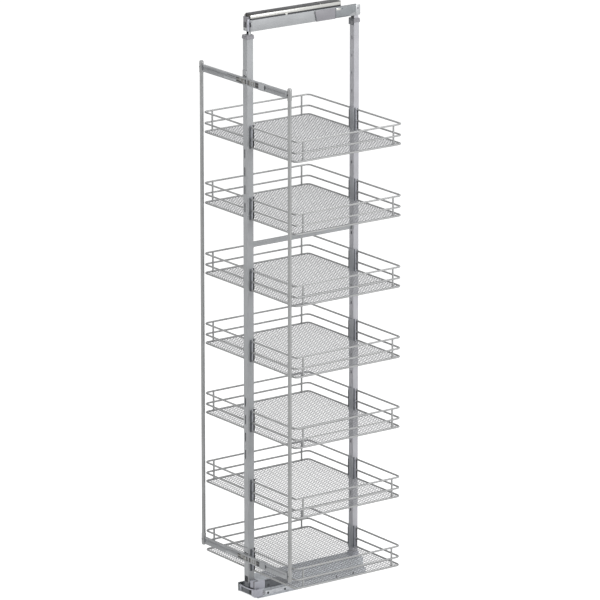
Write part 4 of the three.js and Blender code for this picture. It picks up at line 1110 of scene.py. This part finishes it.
def front_foot():
    """Block under the front post, the fill of the carriage, and the light housing on its right."""
    shape = Shape(M_LIGHT).boxes(FOOT_BLOCKS)
    shape.prism(CHEEK, "x", CHEEK_X, bevel=1.1, segments=3)
    return shape.lathe(BUTTON, BUTTON_PLACE, "x", 20, M_DARK_AND_SHADE)


def foot_apron():
    """Nose before the rails, carried by the foot: a curved light lip, two rounded corners and a dark
    filling, which paints the shade behind the lip.
    """
    outer, inner = [], []
    for step in range(NOSE_STEPS + 1):
        turn = math.pi * (0.5 - step / NOSE_STEPS)
        x = NOSE_HALF * math.sin(turn)
        bow = NOSE_BOW * math.cos(turn) ** 0.7
        outer.append((x, NOSE_OUTER_Y - bow))
        inner.append((x * 0.96, NOSE_INNER_Y - bow * 0.9))
    return Shape(M_LIGHT).prism(outer + inner[::-1], "z", NOSE_Z, bevel=0.7).boxes(NOSE_BLOCKS)


def carriage_side_shade():
    """Dark sheet on the right side of the carriage, behind the housing of the foot: painted shade where the
    carriage side lies in shadow, with a ledge along it.
    """
    front, rear = CARRIAGE_SHADE_Y
    low, high = CARRIAGE_SHADE_Z
    outline = [
        (front, low), (rear - 4, low), (rear, low + 4),
        (rear, high - 5), (rear - 5, high), (front, high),
    ]
    shape = Shape(M_SLATE_AND_SHADE).prism(outline, "x", (CARRIAGE_HALF + 0.05, CARRIAGE_HALF + 1.4))
    return shape.prism(LEDGE, "x", (CARRIAGE_HALF + 1.2, CARRIAGE_HALF + 1.9), bevel=0.3)


def rail_cap(side, finish):
    """Rounded plastic corner of the floor rail: side is 1 for the right one and -1 for the left one."""
    centre_x, centre_y = CAP_CENTRE
    outline = [(CAP_IN, centre_y - CAP_R)]
    for step in range(1, CAP_STEPS + 1):
        turn = math.radians(90 * step / CAP_STEPS - 90)
        outline.append((centre_x + CAP_R * math.cos(turn), centre_y + CAP_R * math.sin(turn)))
    outline += [(centre_x + CAP_R, CAP_INSIDE[0][1]), *CAP_INSIDE]
    mirrored = [(side * x, y) for x, y in outline]
    return Shape(finish).prism(mirrored, "z", CAP_Z, bevel=1.0, segments=3, angle=0.7)


def window_back():
    """Dark back of the window low in the front post: a dark sheet that paints the shade inside the post."""
    return Shape(M_DARK_AND_SHADE).box(*WINDOW_BACK, bevel=0.2)


def side_ring():
    """Washer, and dark dots on the right side of the floor rail that paint the shade of its holes."""
    shape = Shape(M_GREY).lathe(WASHER, WASHER_PLACE, "x", 28)
    for y in HOLE_YS:
        shape.lathe(HOLE_DOT, (0, y, HOLE_Z), "x", 20, M_DARK_AND_SHADE)
    return shape


place_shape("front_foot_housing", front_foot(), "frame", ["front_post_foot"])
place_shape("foot_apron", foot_apron(), "frame")
# painted shade on the carriage's right side
place_shape("carriage_side_shade", carriage_side_shade(), "frame")
# the left cap takes the darker plastic and the right one the light plastic: painted shade on the left
for name, side, finish in (("left", -1, M_STONE_AND_SHADE), ("right", 1, M_LIGHT)):
    cap = rail_cap(side, finish)
    place_shape(f"rail_corner_{name}", cap, "floor_fixing", [f"floor_rail_cap_{name}"])
place_shape("foot_window_back", window_back(), "frame")
place_shape("rail_side_ring", side_ring(), "floor_fixing")

# ------------------------------------------------------------------ finishes of the CAD nodes that stay

STAYING = {
    "floor_rail": M_ZINC,
    "floor_middle_rail": M_ZINC,
    # the carriage takes the brighter copy of the zinc: painted light
    "floor_carriage": M_CARRIAGE_LIT,
    "floor_rail_liner": M_GREY,
    "floor_middle_liner": M_GREY,
    "rear_post_foot": M_LIGHT,
    "front_post": M_POST,
    # the rear post and its tube take the paler copy of the coat: painted light
    "rear_post": M_POST_LIT,
    "strut": M_POST,
    "rear_tube": M_POST_LIT,
}
EDGE = 0.9  # rounding of their edges
EDGE_ANGLE = math.radians(50)

for name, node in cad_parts.items():
    if node.hide_render:
        continue
    for place_in in node.material_slots:
        place_in.material = STAYING[name]
    rounded = node.modifiers.new("rounded", "BEVEL")
    rounded.width = EDGE * MM
    rounded.segments = 2
    rounded.limit_method = "ANGLE"
    rounded.angle_limit = EDGE_ANGLE
    rounded.harden_normals = True
